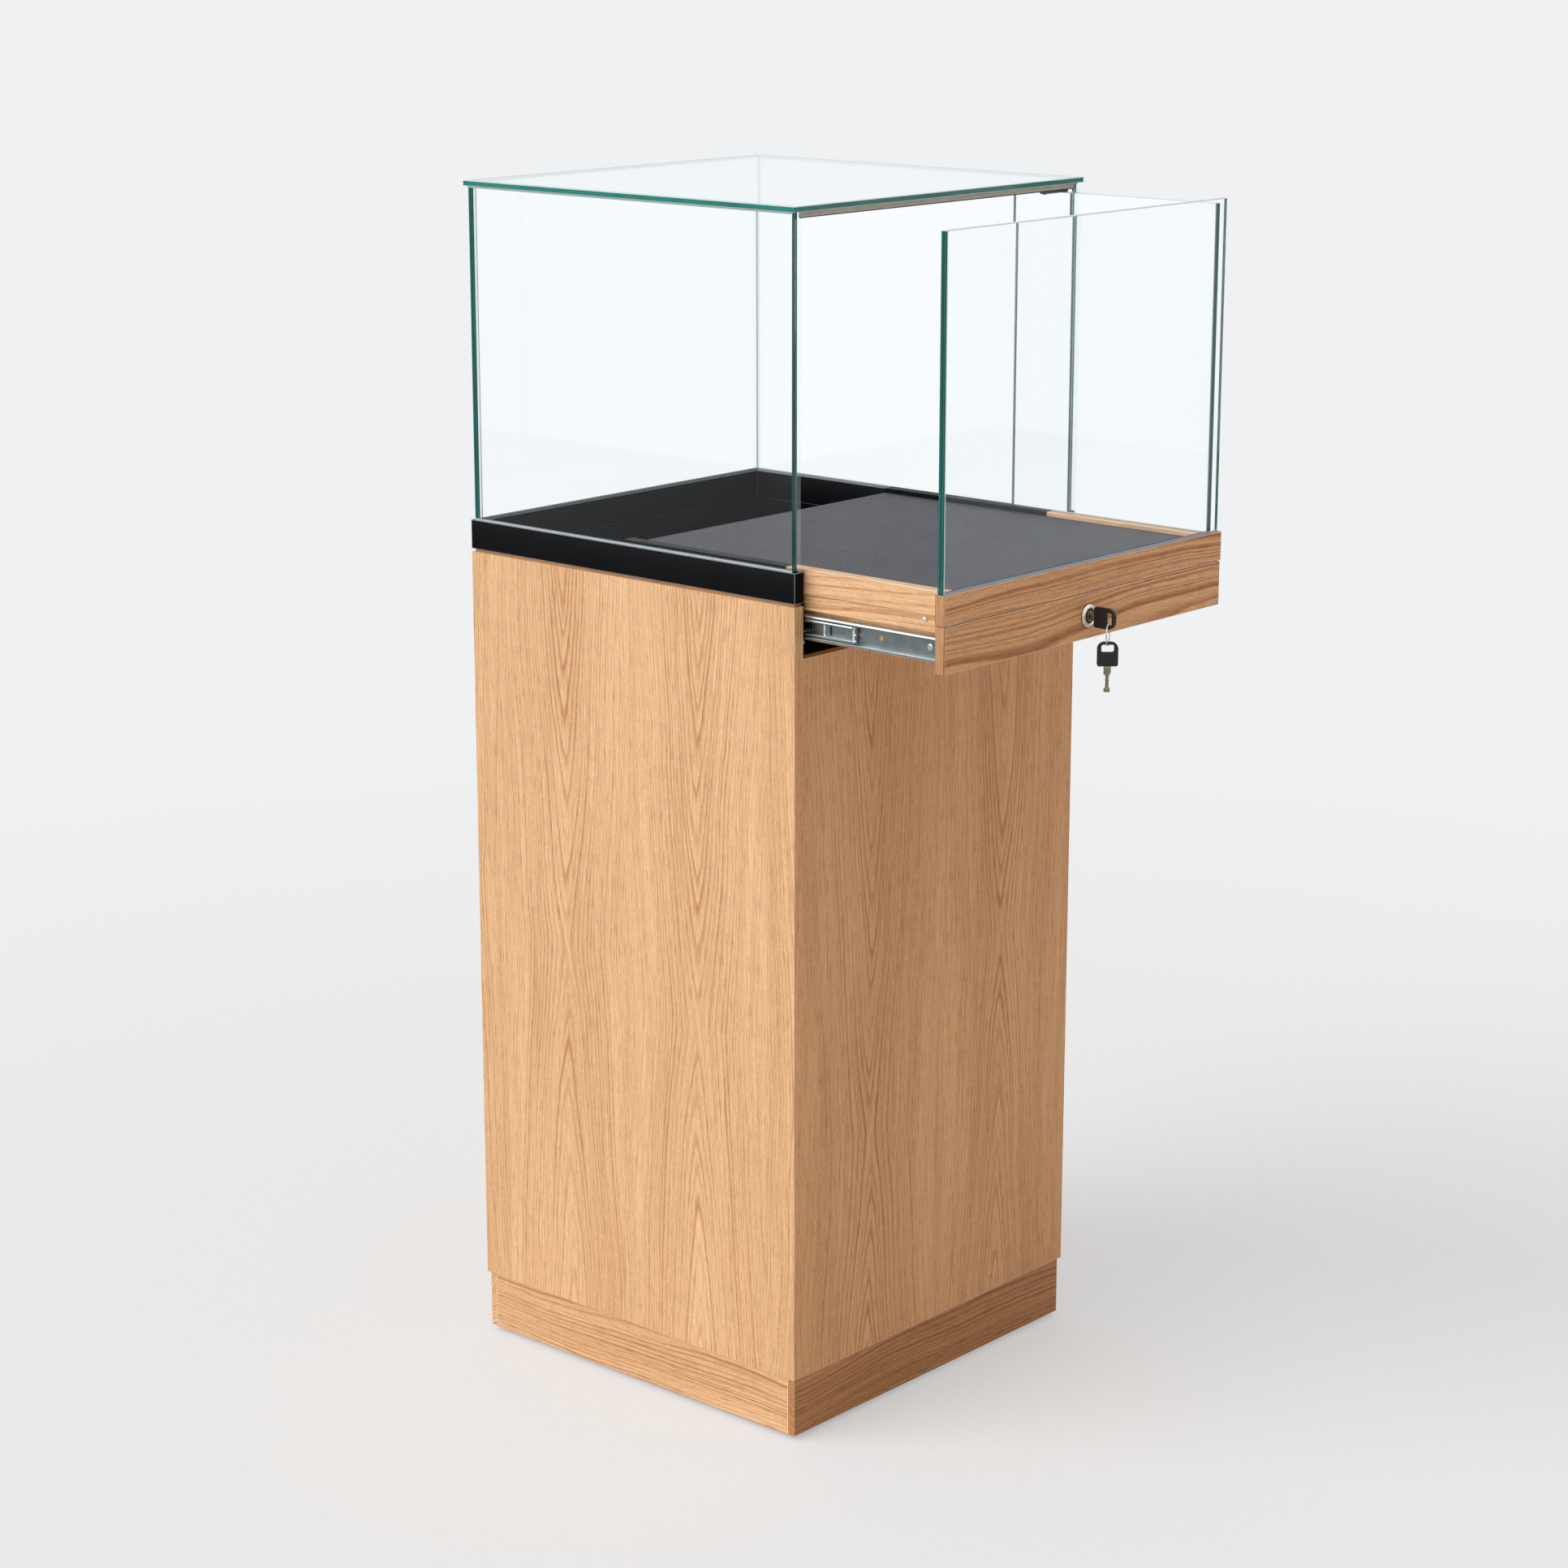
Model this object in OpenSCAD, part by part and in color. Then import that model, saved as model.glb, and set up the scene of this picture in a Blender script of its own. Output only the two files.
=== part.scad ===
// Display pedestal: a veneered plinth with a frameless glass bonnet and a pull-out deck.
// The deck is a drawer on two full-extension ball slides. Its front carries its own pane
// of glass, so the whole front of the bonnet opens with it. It is drawn part open.
// X is the width, the drawer opens towards -Y, and Z is up from the floor.
// The origin is the middle of the base, on the floor. Sizes are in millimetres.

/* [Overall size] */
// Width over the side panels
case_w = 500; // [440:5:700]
// Depth over the front and back panels
case_d = 500; // [490:5:700]
// Height from the floor to the top of the glass
case_h = 1400; // [1150:10:1700]

/* [Plinth] */
// Gap between the floor and the plinth boards
floor_gap = 6; // [3:1:10]
// Height of the plinth boards
plinth_h = 70; // [40:5:120]
// Thickness of the plinth boards
plinth_t = 9; // [6:1:15]
// How far the plinth stands back from the panels
plinth_recess = 3; // [1:1:6]
// Thickness of the black base board
base_t = 12; // [11:1:18]
// Play between the base board and the plinth boards
base_play = 0.8; // [0.5:0.1:0.9]
// Width of the square blocks inside the plinth's corners
block_w = 30; // [20:1:60]

/* [Carcass] */
// Thickness of the veneered panels
panel_t = 14; // [14:1:20]
// Thickness of the carcass bottom
bottom_t = 15; // [12:1:22]
// Thickness of the black lining round the well
liner_t = 1; // [1:0.5:3]
// Height of the drawer opening above the front panel
opening_h = 58.5; // [56:0.5:80]
// Drop from the front panel's top edge to the floor of the well
well_drop = 9; // [9:1:30]
// Thickness of the floor of the well
well_floor_t = 12; // [6:1:18]
// Width of the square battens glued into the corners
batten_w = 20; // [12:1:40]

/* [Black frame] */
// Height of the frame that holds the glass
frame_h = 34; // [25:1:60]
// Height of the shadow gap under the frame
neck_h = 3.5; // [2.5:0.5:10]
// Depth of the shadow gap under the frame
neck_inset = 3; // [2:0.5:8]
// Thickness of the plates that close the frame's front ends
end_cap_t = 3; // [1:0.5:3.5]

/* [Glass] */
// Thickness of the upright panes
glass_t = 8; // [6:1:9]
// Thickness of the top pane
top_t = 6; // [5:1:10]
// Height of the bonnet above the frame
bonnet_h = 390; // [200:10:600]
// Distance from the case's face back to the glass
glass_inset = 3; // [2:0.5:5]
// Distance from the frame's front back to the side panes' edges
pane_setback = 6; // [5:0.5:8]
// How far the top pane stands out past the case
top_overhang = 1; // [0:0.5:6]
// Depth of the glazing groove in the frame
groove_depth = 12; // [8:1:20]
// Wall of the rubber channel round the glass
gasket_t = 1; // [0.5:0.25:2]
// Width of the ground arris on the panes
arris = 0.7; // [0.3:0.1:1.5]

/* [Seals] */
// Height of the brush strip under the top pane
brush_h = 7; // [5:0.5:9]
// Depth of the brush strip from front to back
brush_deep = 7; // [5:0.5:10]
// Distance from the shut front pane back to the brush strip
brush_back = 5.5; // [1:0.5:8]
// Gap between the clear fins and the shut front pane
seal_gap = 0.5; // [0.3:0.1:1]
// Thickness of the clear fins on the side panes
fin_t = 1; // [0.8:0.1:3]
// Length of the guide clip beside the return pane
guide_l = 44; // [20:1:80]
// Height of the guide clip below the brush strip
guide_h = 2.5; // [1:0.5:3]

/* [Drawer] */
// How far the drawer stands open
open_at_rest = 194; // [0:1:250]
// How much shorter the drawer is, behind its front, than the case is deep
drawer_short = 40; // [30:1:44]
// Thickness of the drawer front
fascia_t = 12; // [11:1:20]
// Height of the upper board of the drawer front
fascia_upper_h = 33.5; // [20:0.5:45]
// Shadow joint between the two boards of the drawer front
fascia_joint = 0.8; // [0.4:0.1:2]
// How much shorter the lower board is at each end
fascia_step = 1.5; // [0:0.5:4]
// Gap between the drawer front and the top of the front panel
fascia_clear = 14.5; // [5:0.5:16]
// Gap between the shut drawer front and the case
shut_gap = 0.5; // [0.3:0.1:3]
// Thickness of the boards across the drawer's front and back
cross_t = 12; // [9:1:18]
// Thickness of the drawer sides beside the slides
side_t = 12; // [9:1:18]
// Step back from the deck rail to the drawer side below it
side_step = 3; // [1:0.5:4]
// Width of the oak rails beside the deck
rail_w = 14; // [8:1:20]
// Play between the deck rails and the frame
rail_play = 1.5; // [0.8:0.1:4]
// Height of the rails above the black frame
rail_over = 3; // [2:0.5:10]
// Height of the rails above the covered panel
rail_lip = 5; // [1:0.5:10]
// Thickness of the covered panel
insert_t = 6; // [3:0.5:12]
// Thickness of the deck board under it
deck_t = 16; // [10:0.5:18]
// Diameter of the pan heads on the drawer sides
pan_d = 6; // [4:0.5:8]
// Distance from the drawer front to those screws
pan_y = 30; // [20:1:100]
// Drop from the deck rails to those screws
pan_drop = 6.5; // [5:0.5:10]

/* [Glass on the drawer] */
// Distance from the drawer front's face back to its pane
front_pane_back = 2; // [1.5:0.25:3]
// Wall of the rubber strip round the foot of that pane
foot_gasket_t = 0.5; // [0.5:0.25:0.75]
// Depth of the groove that the pane stands in
foot_groove = 12; // [8:1:20]
// Gap between the front pane and the top pane
front_pane_drop = 5.5; // [2:0.5:6]
// Distance from the right end of the drawer front to the pane
front_pane_short = 5.5; // [0:0.5:10]
// Length of the return pane on the right-hand side
return_l = 280; // [100:5:350]
// Drop from the front pane's top to the return pane's top
return_drop = 5; // [4:0.5:20]
// Gap between the return pane and the fixed right-hand pane
return_gap = 2.5; // [1.5:0.5:4]

/* [Ball slides] */
// How much shorter the slide members are than the case is deep
slide_short = 50; // [45:5:100]
// Overall height of the slide
slide_h = 27.5; // [27:0.5:32]
// Overall thickness of the slide
slide_t = 12.7; // [12:0.1:14]
// Drop from the carcass's top to the middle of the slides
slide_drop = 23.5; // [21:0.5:26]
// Distance from the case's front to the slide
slide_setback = 3; // [2.5:0.5:10]
// Thickness of the rolled steel
steel_t = 1.1; // [0.9:0.1:1.2]
// Diameter of the balls that run in the drawer's member
ball_wide_d = 2.6; // [2.4:0.1:2.8]
// Diameter of the balls that run on the case's member
ball_narrow_d = 2; // [1.8:0.1:2.2]
// Play between the balls and their races
ball_play = 0.2; // [0.15:0.05:0.3]
// How far the middle member stands out at rest
mid_at_rest = 70; // [0:1:100]
// Length of the outer ball cages
cage_out_l = 200; // [100:10:220]
// Length of the inner ball cages
cage_in_l = 140; // [80:10:150]
// Thickness of the cage strip
cage_t = 0.5; // [0.4:0.1:0.6]
// Spacing of the balls along a cage
ball_pitch = 20; // [10:1:40]
// Length of the window in the middle member
window_l = 21; // [10:1:30]
// Diameter of the slide screws' shanks
screw_d = 3.5; // [3:0.1:4]
// Diameter of the slide screws' heads
screw_head_d = 7; // [6:0.5:8]

/* [Lock and keys] */
// Diameter of the lock's front ring
lock_front_d = 26; // [22:0.5:30]
// Height of the front ring
lock_front_t = 3.5; // [2:0.5:5]
// Diameter of the lock barrel
lock_d = 19; // [16:0.5:20]
// Diameter of the turning plug
plug_d = 12; // [11:0.5:13]
// Radial play of the plug in the barrel
plug_play = 0.05; // [0.02:0.01:0.1]
// Thickness of the lock nut
nut_t = 4; // [3:0.5:5]
// Reach of the cam from the lock's axis
cam_len = 46; // [43:1:48]
// Width of the cam
cam_w = 12; // [10:0.5:16]
// Thickness of the cam
cam_t = 3; // [2:0.5:3]
// Width of a key's bow
bow_w = 23; // [20:0.5:26]
// Length of a key's bow
bow_l = 27; // [22:0.5:32]
// Thickness of a key's bow
bow_t = 4.5; // [3:0.25:4.5]
// Length of the blade beyond the bow
blade_l = 29; // [24:1:32]
// Mean radius of the key ring
ring_r = 12.2; // [11:0.2:15]
// Wire diameter of the key ring
ring_wire = 1.4; // [1:0.1:1.6]

/* [Hidden] */
$fn = 64;
eps = 0.01;                             // overshoot of a cutter past the face it opens
screw_play = 0.1;                       // play of a screw in its hole, on the diameter

// Colours
OAK = [0.79, 0.61, 0.40];
BLACK = [0.09, 0.09, 0.10];
CHARCOAL = [0.29, 0.28, 0.31];
GLASS = [0.72, 0.90, 0.87, 0.35];
RUBBER = [0.05, 0.05, 0.05];
BRUSH = [0.58, 0.54, 0.48];
ZINC = [0.74, 0.76, 0.77];
NICKEL = [0.80, 0.75, 0.66];
PINE = [0.86, 0.76, 0.58];

// Plan of the case
half_w = case_w / 2;
half_d = case_d / 2;
frame_w = panel_t + liner_t;            // the frame covers the panels and their lining
in_x = half_w - frame_w;                // clear half width inside the lining
in_y = half_d - frame_w;                // clear half depth inside the lining
plinth_x = half_w - plinth_recess;
plinth_y = half_d - plinth_recess;
base_x = plinth_x - plinth_t - base_play;
base_y = plinth_y - plinth_t - base_play;
glass_x = half_w - glass_inset;         // outer faces of the panes
glass_y = half_d - glass_inset;

// Levels, from the floor up
z_carcass = floor_gap + plinth_h;
z_top = case_h - top_t;                 // underside of the top pane
z_frame_top = case_h - bonnet_h;
z_frame = z_frame_top - frame_h;
z_carcass_top = z_frame - neck_h;
z_front_top = z_carcass_top - opening_h;
z_well = z_front_top - well_drop;
z_batten_top = z_well - well_floor_t;
z_pane_foot = z_frame_top - groove_depth + gasket_t;

// The drawer at rest
y_shut = -half_d - shut_gap;            // back of the drawer front when shut
y_back = y_shut - open_at_rest;         // the same face at rest
y_face = y_back - fascia_t;             // the drawer's front face at rest
drawer_l = case_d - drawer_short;
y_end = y_back + drawer_l;
z_rail_top = z_frame_top + rail_over;
z_insert = z_rail_top - rail_lip;
z_deck = z_insert - insert_t - deck_t;
z_seam = z_rail_top - fascia_upper_h;
z_fascia = z_front_top + fascia_clear;
rail_x = in_x - rail_play;
z_slide = z_carcass_top - slide_drop;
side_x = in_x - slide_t;                // face that carries the slide
z_rebate = z_carcass_top - 5;           // the side is rebated below this level
front_pane_y = y_face + front_pane_back;
z_pane_top = z_top - front_pane_drop;
pane_shut_y = front_pane_y + glass_t + open_at_rest;  // inner face of the shut pane
y_brush = pane_shut_y + brush_back;

// The section of a slide: u runs from the drawer to the case, v is up from its middle. The
// drawer carries the wide member, open to the case, and the others are nested in it
race_wide = ball_wide_d / 2 + ball_play;
race_narrow = ball_narrow_d / 2 + ball_play;
wall_gap = 0.9;                         // room between the wide member's lips and the case
race_u = slide_t - wall_gap - steel_t - race_wide;
wide_v = slide_h / 2 - steel_t - race_wide;
mid_half = wide_v - race_wide;
narrow_v = mid_half - steel_t - race_narrow;
narrow_half = narrow_v - race_narrow;
web_gap = 1;                            // room for a cage between two webs
mid_u = steel_t + web_gap;
cage_gap = (web_gap - cage_t) / 2;
narrow_lip_u = mid_u + steel_t + web_gap; // free edge of the case member's flanges
lip_turn = 20;                          // how far a lip curls past its ball's middle
y_slide = -half_d + slide_setback;
slide_len = case_d - slide_short;
y_slide_mid = y_slide + slide_len / 2;
cage_bias = 28;                         // the outer cages sit this much towards the front
screw_ys = [25, slide_len / 2, slide_len - 35];
side_drop = 3;                          // the drawer side reaches this far under its slide

// Lock and keys
z_lock = (z_fascia + z_seam - fascia_joint / 2) / 2;
lock_grip = fascia_t + cross_t;
y_barrel_end = y_face + lock_grip + nut_t + 0.5;
cam_y = y_barrel_end + 0.4;
tail_w = 7;                             // square tail of the plug
plug_recess = 1;
plug_r = plug_d / 2 - plug_play;
blade_w = 8;
blade_t = 2;
shank_d = 4;
key_collar = 6.5;                       // blade showing between the lock and the bow
y_bow = y_face - lock_front_t + plug_recess - key_collar;
hole_w = 14;
hole_l = 8.5;
hole_edge = 3;                          // bow material behind the hole
bar_h = (bow_w - hole_w) / 2;           // bow material beside the hole
// The ring hangs from the bow's lower bar, far enough off that the bar can turn inside it
ring_off = norm([bar_h, bow_t]) / 2 + ring_wire / 2 + 0.25;
ring_yaw = 28;                          // turn of the ring's plane from the X axis
ring_bias = 1.8;                        // the ring hangs this much nearer the lock than mid hole
ring_y = y_bow - bow_l + hole_edge + hole_l / 2 + ring_bias;
z_ring_low = z_lock - hole_w / 2 - bar_h / 2 + ring_off - 2 * ring_r;
spare_yaw = -48;                        // turn of the spare key's face from the X axis
z_spare = z_ring_low + ring_wire / 2 + 0.5 + hole_edge;  // top of the spare key's bow

// ---- Shared shapes ----

// A rectangle with its four corners cut off by c
module bevel_rect(a, b, c) {
    polygon([[c, 0], [a - c, 0], [a, c], [a, b - c], [a - c, b], [c, b], [0, b - c], [0, c]]);
}

// A board from its low corner, with every edge broken by c
module bevel_box(low, size, c) {
    translate(low) intersection() {
        linear_extrude(height = size[2]) bevel_rect(size[0], size[1], c);
        translate([0, size[1], 0]) rotate([90, 0, 0])
            linear_extrude(height = size[1]) bevel_rect(size[0], size[2], c);
        rotate([90, 0, 90]) linear_extrude(height = size[0]) bevel_rect(size[1], size[2], c);
    }
}

// A rectangle from its low corner, with round corners of radius r below and r_top above
module round_rect(a, b, r, r_top) {
    translate([r, 0]) square([a - 2 * r, b - r_top]);
    translate([r_top, b - r_top]) square([a - 2 * r_top, r_top]);
    translate([0, r]) square([a, b - r - r_top]);
    for (x = [r, a - r]) translate([x, r]) circle(r = r);
    for (x = [r_top, a - r_top]) translate([x, b - r_top]) circle(r = r_top);
}

// Runs a section drawn in X and Z along Y
module along_y(y0, len) {
    translate([0, y0 + len, 0]) rotate([90, 0, 0]) linear_extrude(height = len) children();
}

// Turns a shape made along Z so that it points to -Y, with its foot at y
module facing_front(y, z) {
    translate([0, y, z]) rotate([90, 0, 0]) children();
}

module mirrored_pair() {
    children();
    mirror([1, 0, 0]) children();
}

// Plan of the left side of a rectangular ring, mitred at the back and, if asked, the front
module left_plan(x, y, t, front_mitre) {
    polygon([[-x, -y], [-x, y], [-x + t, y - t], [-x + t, front_mitre ? -y + t : -y]]);
}

// Plan of the back side of the same ring
module back_plan(x, y, t) {
    polygon([[-x, y], [x, y], [x - t, y - t], [-x + t, y - t]]);
}

module level(z0, z1) {
    translate([0, 0, z0]) linear_extrude(height = z1 - z0) children();
}

// Axes of the screws that hold a slide member whose front end is at y0
module slide_screw_places(y0, x) {
    for (y = screw_ys) translate([x, y0 + y, z_slide]) rotate([0, 90, 0]) children();
}

// ---- Plinth ----

module base_board() {
    color(BLACK) translate([-base_x, -base_y, 0]) cube([2 * base_x, 2 * base_y, base_t]);
}

// The front and back boards cover the ends of the side boards
module plinth_front() {
    color(OAK) translate([-plinth_x, -plinth_y, floor_gap]) cube([2 * plinth_x, plinth_t, plinth_h]);
}

module plinth_back() {
    color(OAK) translate([-plinth_x, plinth_y - plinth_t, floor_gap])
        cube([2 * plinth_x, plinth_t, plinth_h]);
}

module plinth_left() {
    color(OAK) translate([-plinth_x, -plinth_y + plinth_t, floor_gap])
        cube([plinth_t, 2 * (plinth_y - plinth_t), plinth_h]);
}

module plinth_right() {
    color(OAK) mirror([1, 0, 0]) plinth_left();
}

// Blocks inside the plinth's corners, and battens up the carcass's corners
module glue_blocks() {
    bx = plinth_x - plinth_t;
    by = plinth_y - plinth_t;
    cx = half_w - panel_t;
    cy = half_d - panel_t;
    color(PINE) for (mx = [0, 1], my = [0, 1]) mirror([mx, 0, 0]) mirror([0, my, 0]) {
        translate([bx - block_w, by - block_w, base_t]) cube([block_w, block_w, z_carcass - base_t]);
        translate([cx - batten_w, cy - batten_w, z_carcass + bottom_t])
            cube([batten_w, batten_w, z_batten_top - z_carcass - bottom_t]);
    }
}

// ---- Carcass ----

module bottom_panel() {
    color(PINE) translate([panel_t - half_w, panel_t - half_d, z_carcass])
        cube([case_w - 2 * panel_t, case_d - 2 * panel_t, bottom_t]);
}

// Mitred to the front panel, and square above it, where the drawer comes out
module side_panel_left() {
    color(OAK) difference() {
        union() {
            level(z_carcass, z_front_top) left_plan(half_w, half_d, panel_t, true);
            level(z_front_top, z_carcass_top) left_plan(half_w, half_d, panel_t, false);
        }
        slide_screw_places(y_slide, -half_w + panel_t / 2) cylinder(d = screw_d, h = frame_w);
    }
}

module side_panel_right() {
    color(OAK) mirror([1, 0, 0]) side_panel_left();
}

module front_panel() {
    color(OAK) mirror([0, 1, 0]) level(z_carcass, z_front_top) back_plan(half_w, half_d, panel_t);
}

module back_panel() {
    color(OAK) level(z_carcass, z_carcass_top) back_plan(half_w, half_d, panel_t);
}

module well_floor() {
    color(BLACK) translate([panel_t - half_w, panel_t - half_d, z_batten_top])
        cube([case_w - 2 * panel_t, case_d - 2 * panel_t, well_floor_t]);
}

// Black lining on three sides of the well, notched round the front panel
module well_liner() {
    y_in = half_d - panel_t;
    color(BLACK) {
        mirrored_pair() difference() {
            translate([-in_x - liner_t, 0, 0]) rotate([90, 0, 90]) linear_extrude(height = liner_t)
                polygon([
                    [-y_in, z_well], [y_in, z_well], [y_in, z_frame],
                    [-half_d, z_frame], [-half_d, z_front_top], [-y_in, z_front_top]
                ]);
            slide_screw_places(y_slide, -in_x - 2 * liner_t) cylinder(d = screw_d, h = 3 * liner_t);
        }
        translate([-in_x, in_y, z_well]) cube([2 * in_x, liner_t, z_frame - z_well]);
    }
}

// ---- Black frame ----

// Strips that carry the frame and make the shadow gap under it
module neck_strips() {
    x = half_w - neck_inset;
    y = half_d - neck_inset;
    w = panel_t - neck_inset;
    color(OAK) level(z_carcass_top, z_frame) {
        mirrored_pair() left_plan(x, y, w, false);
        back_plan(x, y, w);
    }
}

// The groove that all three sides share; the glass stands in it
module glazing_ring(wall) {
    difference() {
        translate([-glass_x - wall, -glass_y - wall]) square(2 * [glass_x + wall, glass_y + wall]);
        translate([-glass_x + glass_t + wall, -half_d])
            square([2 * (glass_x - glass_t - wall), half_d + glass_y - glass_t - wall]);
    }
}

module glazing_groove() {
    level(z_frame_top - groove_depth, z_frame_top + eps) glazing_ring(gasket_t);
}

module frame_left() {
    color(BLACK) difference() {
        level(z_frame, z_frame_top) intersection() {
            left_plan(half_w, half_d, frame_w, false);
            translate([-half_w, -half_d + end_cap_t]) square([frame_w, case_d]);
        }
        glazing_groove();
    }
}

module frame_right() {
    color(BLACK) mirror([1, 0, 0]) frame_left();
}

module frame_back() {
    color(BLACK) difference() {
        level(z_frame, z_frame_top) back_plan(half_w, half_d, frame_w);
        glazing_groove();
    }
}

module frame_end_caps() {
    color(BLACK) mirrored_pair() translate([-half_w, -half_d, z_frame])
        cube([frame_w, end_cap_t, frame_h]);
}

// One rubber channel bent round the three sides
module glazing_gasket() {
    gasket_top = z_frame_top - 1;
    color(RUBBER) difference() {
        level(z_frame_top - groove_depth, gasket_top) intersection() {
            glazing_ring(gasket_t);
            translate([-half_w, -half_d + pane_setback]) square([case_w, case_d]);
        }
        level(z_pane_foot, gasket_top + eps) glazing_ring(0);
    }
}

// ---- Bonnet ----

// The back pane runs the full width and the side panes butt against it
module glass_left() {
    y0 = -half_d + pane_setback;
    color(GLASS) bevel_box([-glass_x, y0, z_pane_foot],
        [glass_t, glass_y - glass_t - y0, z_top - z_pane_foot], arris);
}

module glass_right() {
    color(GLASS) mirror([1, 0, 0]) glass_left();
}

module glass_back() {
    color(GLASS) bevel_box([-glass_x, glass_y - glass_t, z_pane_foot],
        [2 * glass_x, glass_t, z_top - z_pane_foot], arris);
}

module glass_top() {
    x = half_w + top_overhang;
    y = half_d + top_overhang;
    color(GLASS) bevel_box([-x, -y, z_top], [2 * x, 2 * y, top_t], arris);
}

// Clear fins on the side panes' front edges, which the shut front pane closes against
module edge_fins() {
    y0 = pane_shut_y + seal_gap;
    z0 = z_rail_top + seal_gap;
    color([0.9, 0.95, 0.95, 0.3]) mirrored_pair()
        translate([-glass_x + (glass_t - fin_t) / 2, y0, z0])
            cube([fin_t, -half_d + pane_setback - y0, z_top - brush_h - z0]);
}

// A brush in a slim holder, under the front edge of the top pane
module brush_seal() {
    x = glass_x - glass_t - 1;
    color(BRUSH) translate([-x, y_brush, z_top - brush_h]) cube([2 * x, brush_deep, brush_h]);
}

// A clip with two screw heads that keeps the return pane off the brush strip
module pane_guide() {
    x1 = glass_x - glass_t - return_gap - glass_t - 1.5;
    z0 = z_top - brush_h - guide_h;
    color(BLACK) {
        translate([x1 - guide_l, y_brush, z0]) cube([guide_l, brush_deep, guide_h]);
        for (x = [x1 - guide_l + 4, x1 - 4]) translate([x, y_brush + brush_deep / 2, z0 - 0.8])
            cylinder(d = 4, h = 0.8);
    }
}

// ---- Ball slides ----

// Quarter of a race: a ring of radii r and r + t about (u, v), from its top round to lip_turn
// past its middle on the drawer's side
module race_lip(u, v, r, t) {
    big = 2 * (r + t);
    translate([u, v]) difference() {
        circle(r = r + t);
        circle(r = r);
        translate([-big, -big]) square([big, 2 * big]);
        rotate(-lip_turn) translate([-big, -big]) square([2 * big, big]);
    }
}

// Copies the upper half of a section to its lower half
module both_halves() {
    children();
    mirror([0, 1]) children();
}

// Section of the member that is screwed to the drawer
module wide_section() {
    translate([0, -slide_h / 2]) square([steel_t, slide_h]);
    both_halves() {
        translate([0, slide_h / 2 - steel_t]) square([race_u, steel_t]);
        race_lip(race_u, wide_v, race_wide, steel_t);
    }
}

// Section of the middle member: the wide balls run on its back, the narrow ones inside it
module mid_section() {
    translate([mid_u, -mid_half]) square([steel_t, 2 * mid_half]);
    both_halves() {
        translate([mid_u, mid_half - steel_t]) square([race_u - mid_u, steel_t]);
        race_lip(race_u, narrow_v, race_narrow, steel_t);
    }
}

// Section of the member that is screwed to the case
module narrow_section() {
    lip_h = narrow_half / 3;
    translate([slide_t - steel_t, -narrow_half]) square([steel_t, 2 * narrow_half]);
    both_halves() {
        translate([narrow_lip_u, narrow_half - steel_t]) square([slide_t - narrow_lip_u, steel_t]);
        translate([narrow_lip_u, narrow_half - lip_h]) square([steel_t, lip_h]);
    }
}

// Puts something made in u, Y and v against the left side of the drawer
module left_slide() {
    translate([-side_x, 0, z_slide]) mirror([1, 0, 0]) children();
}

module slide_member(y0) {
    left_slide() along_y(y0, slide_len) children();
}

module slide_outer_left() {
    color(ZINC) difference() {
        slide_member(y_slide) narrow_section();
        slide_screw_places(y_slide, -in_x - 1) cylinder(d = screw_d, h = steel_t + 2);
    }
}

module slide_outer_right() {
    color(ZINC) mirror([1, 0, 0]) slide_outer_left();
}

// The web has a window and a slot near its front end, which is turned out in two lugs
module slide_mid_left() {
    y0 = y_slide - mid_at_rest;
    win_h = 12;
    slot_l = 4;
    lug = 5;
    color(ZINC) {
        difference() {
            slide_member(y0) mid_section();
            left_slide() for (cut = [[17, window_l], [58, slot_l]])
                translate([mid_u - eps, y0 + cut[0], -win_h / 2])
                    cube([steel_t + 2 * eps, cut[1], win_h]);
        }
        left_slide() for (v = [-narrow_half, narrow_half - lug])
            translate([mid_u, y0 - steel_t, v]) cube([lug, steel_t, lug]);
    }
}

module slide_mid_right() {
    color(ZINC) mirror([1, 0, 0]) slide_mid_left();
}

// Countersunk for its screws, so that the middle member passes over them
module slide_inner_left() {
    y0 = y_slide - open_at_rest;
    spare_holes = [[92, 5.5], [119, 3]];
    color(ZINC) difference() {
        slide_member(y0) wide_section();
        slide_screw_places(y0, -side_x - steel_t) cylinder(d1 = screw_head_d, d2 = screw_d, h = steel_t);
        for (hole = spare_holes) translate([-side_x - steel_t - 1, y0 + hole[0], z_slide])
            rotate([0, 90, 0]) cylinder(d = hole[1], h = steel_t + 2);
    }
}

module slide_inner_right() {
    color(ZINC) mirror([1, 0, 0]) slide_inner_left();
}

// A cage is a strip folded round the member inside it, with its balls held in the folds.
// u is its web, v the height of its rows, u_end where the folds end.
module ball_cage(u, v, u_end, y_mid, len, d) {
    n = floor((len - ball_pitch) / ball_pitch);
    left_slide() {
        along_y(y_mid - len / 2, len) {
            translate([u, -v]) square([cage_t, 2 * v]);
            for (s = [-1, 1]) translate([u, s * v - cage_t / 2]) square([u_end - u, cage_t]);
        }
        for (i = [0:n], s = [-1, 1])
            translate([race_u, y_mid + (i - n / 2) * ball_pitch, s * v]) sphere(d = d, $fn = 24);
    }
}

// Between the case's member and the middle one
module outer_ball_cages() {
    color(ZINC) mirrored_pair() ball_cage(mid_u + steel_t + cage_gap, narrow_v,
        race_u + race_narrow - cage_gap, y_slide_mid - cage_bias - mid_at_rest / 2,
        cage_out_l, ball_narrow_d);
}

// Between the middle member and the drawer's
module inner_ball_cages() {
    color(ZINC) mirrored_pair() ball_cage(steel_t + cage_gap, wide_v,
        race_u + race_wide - cage_gap, y_slide_mid - (mid_at_rest + open_at_rest) / 2,
        cage_in_l, ball_wide_d);
}

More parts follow.
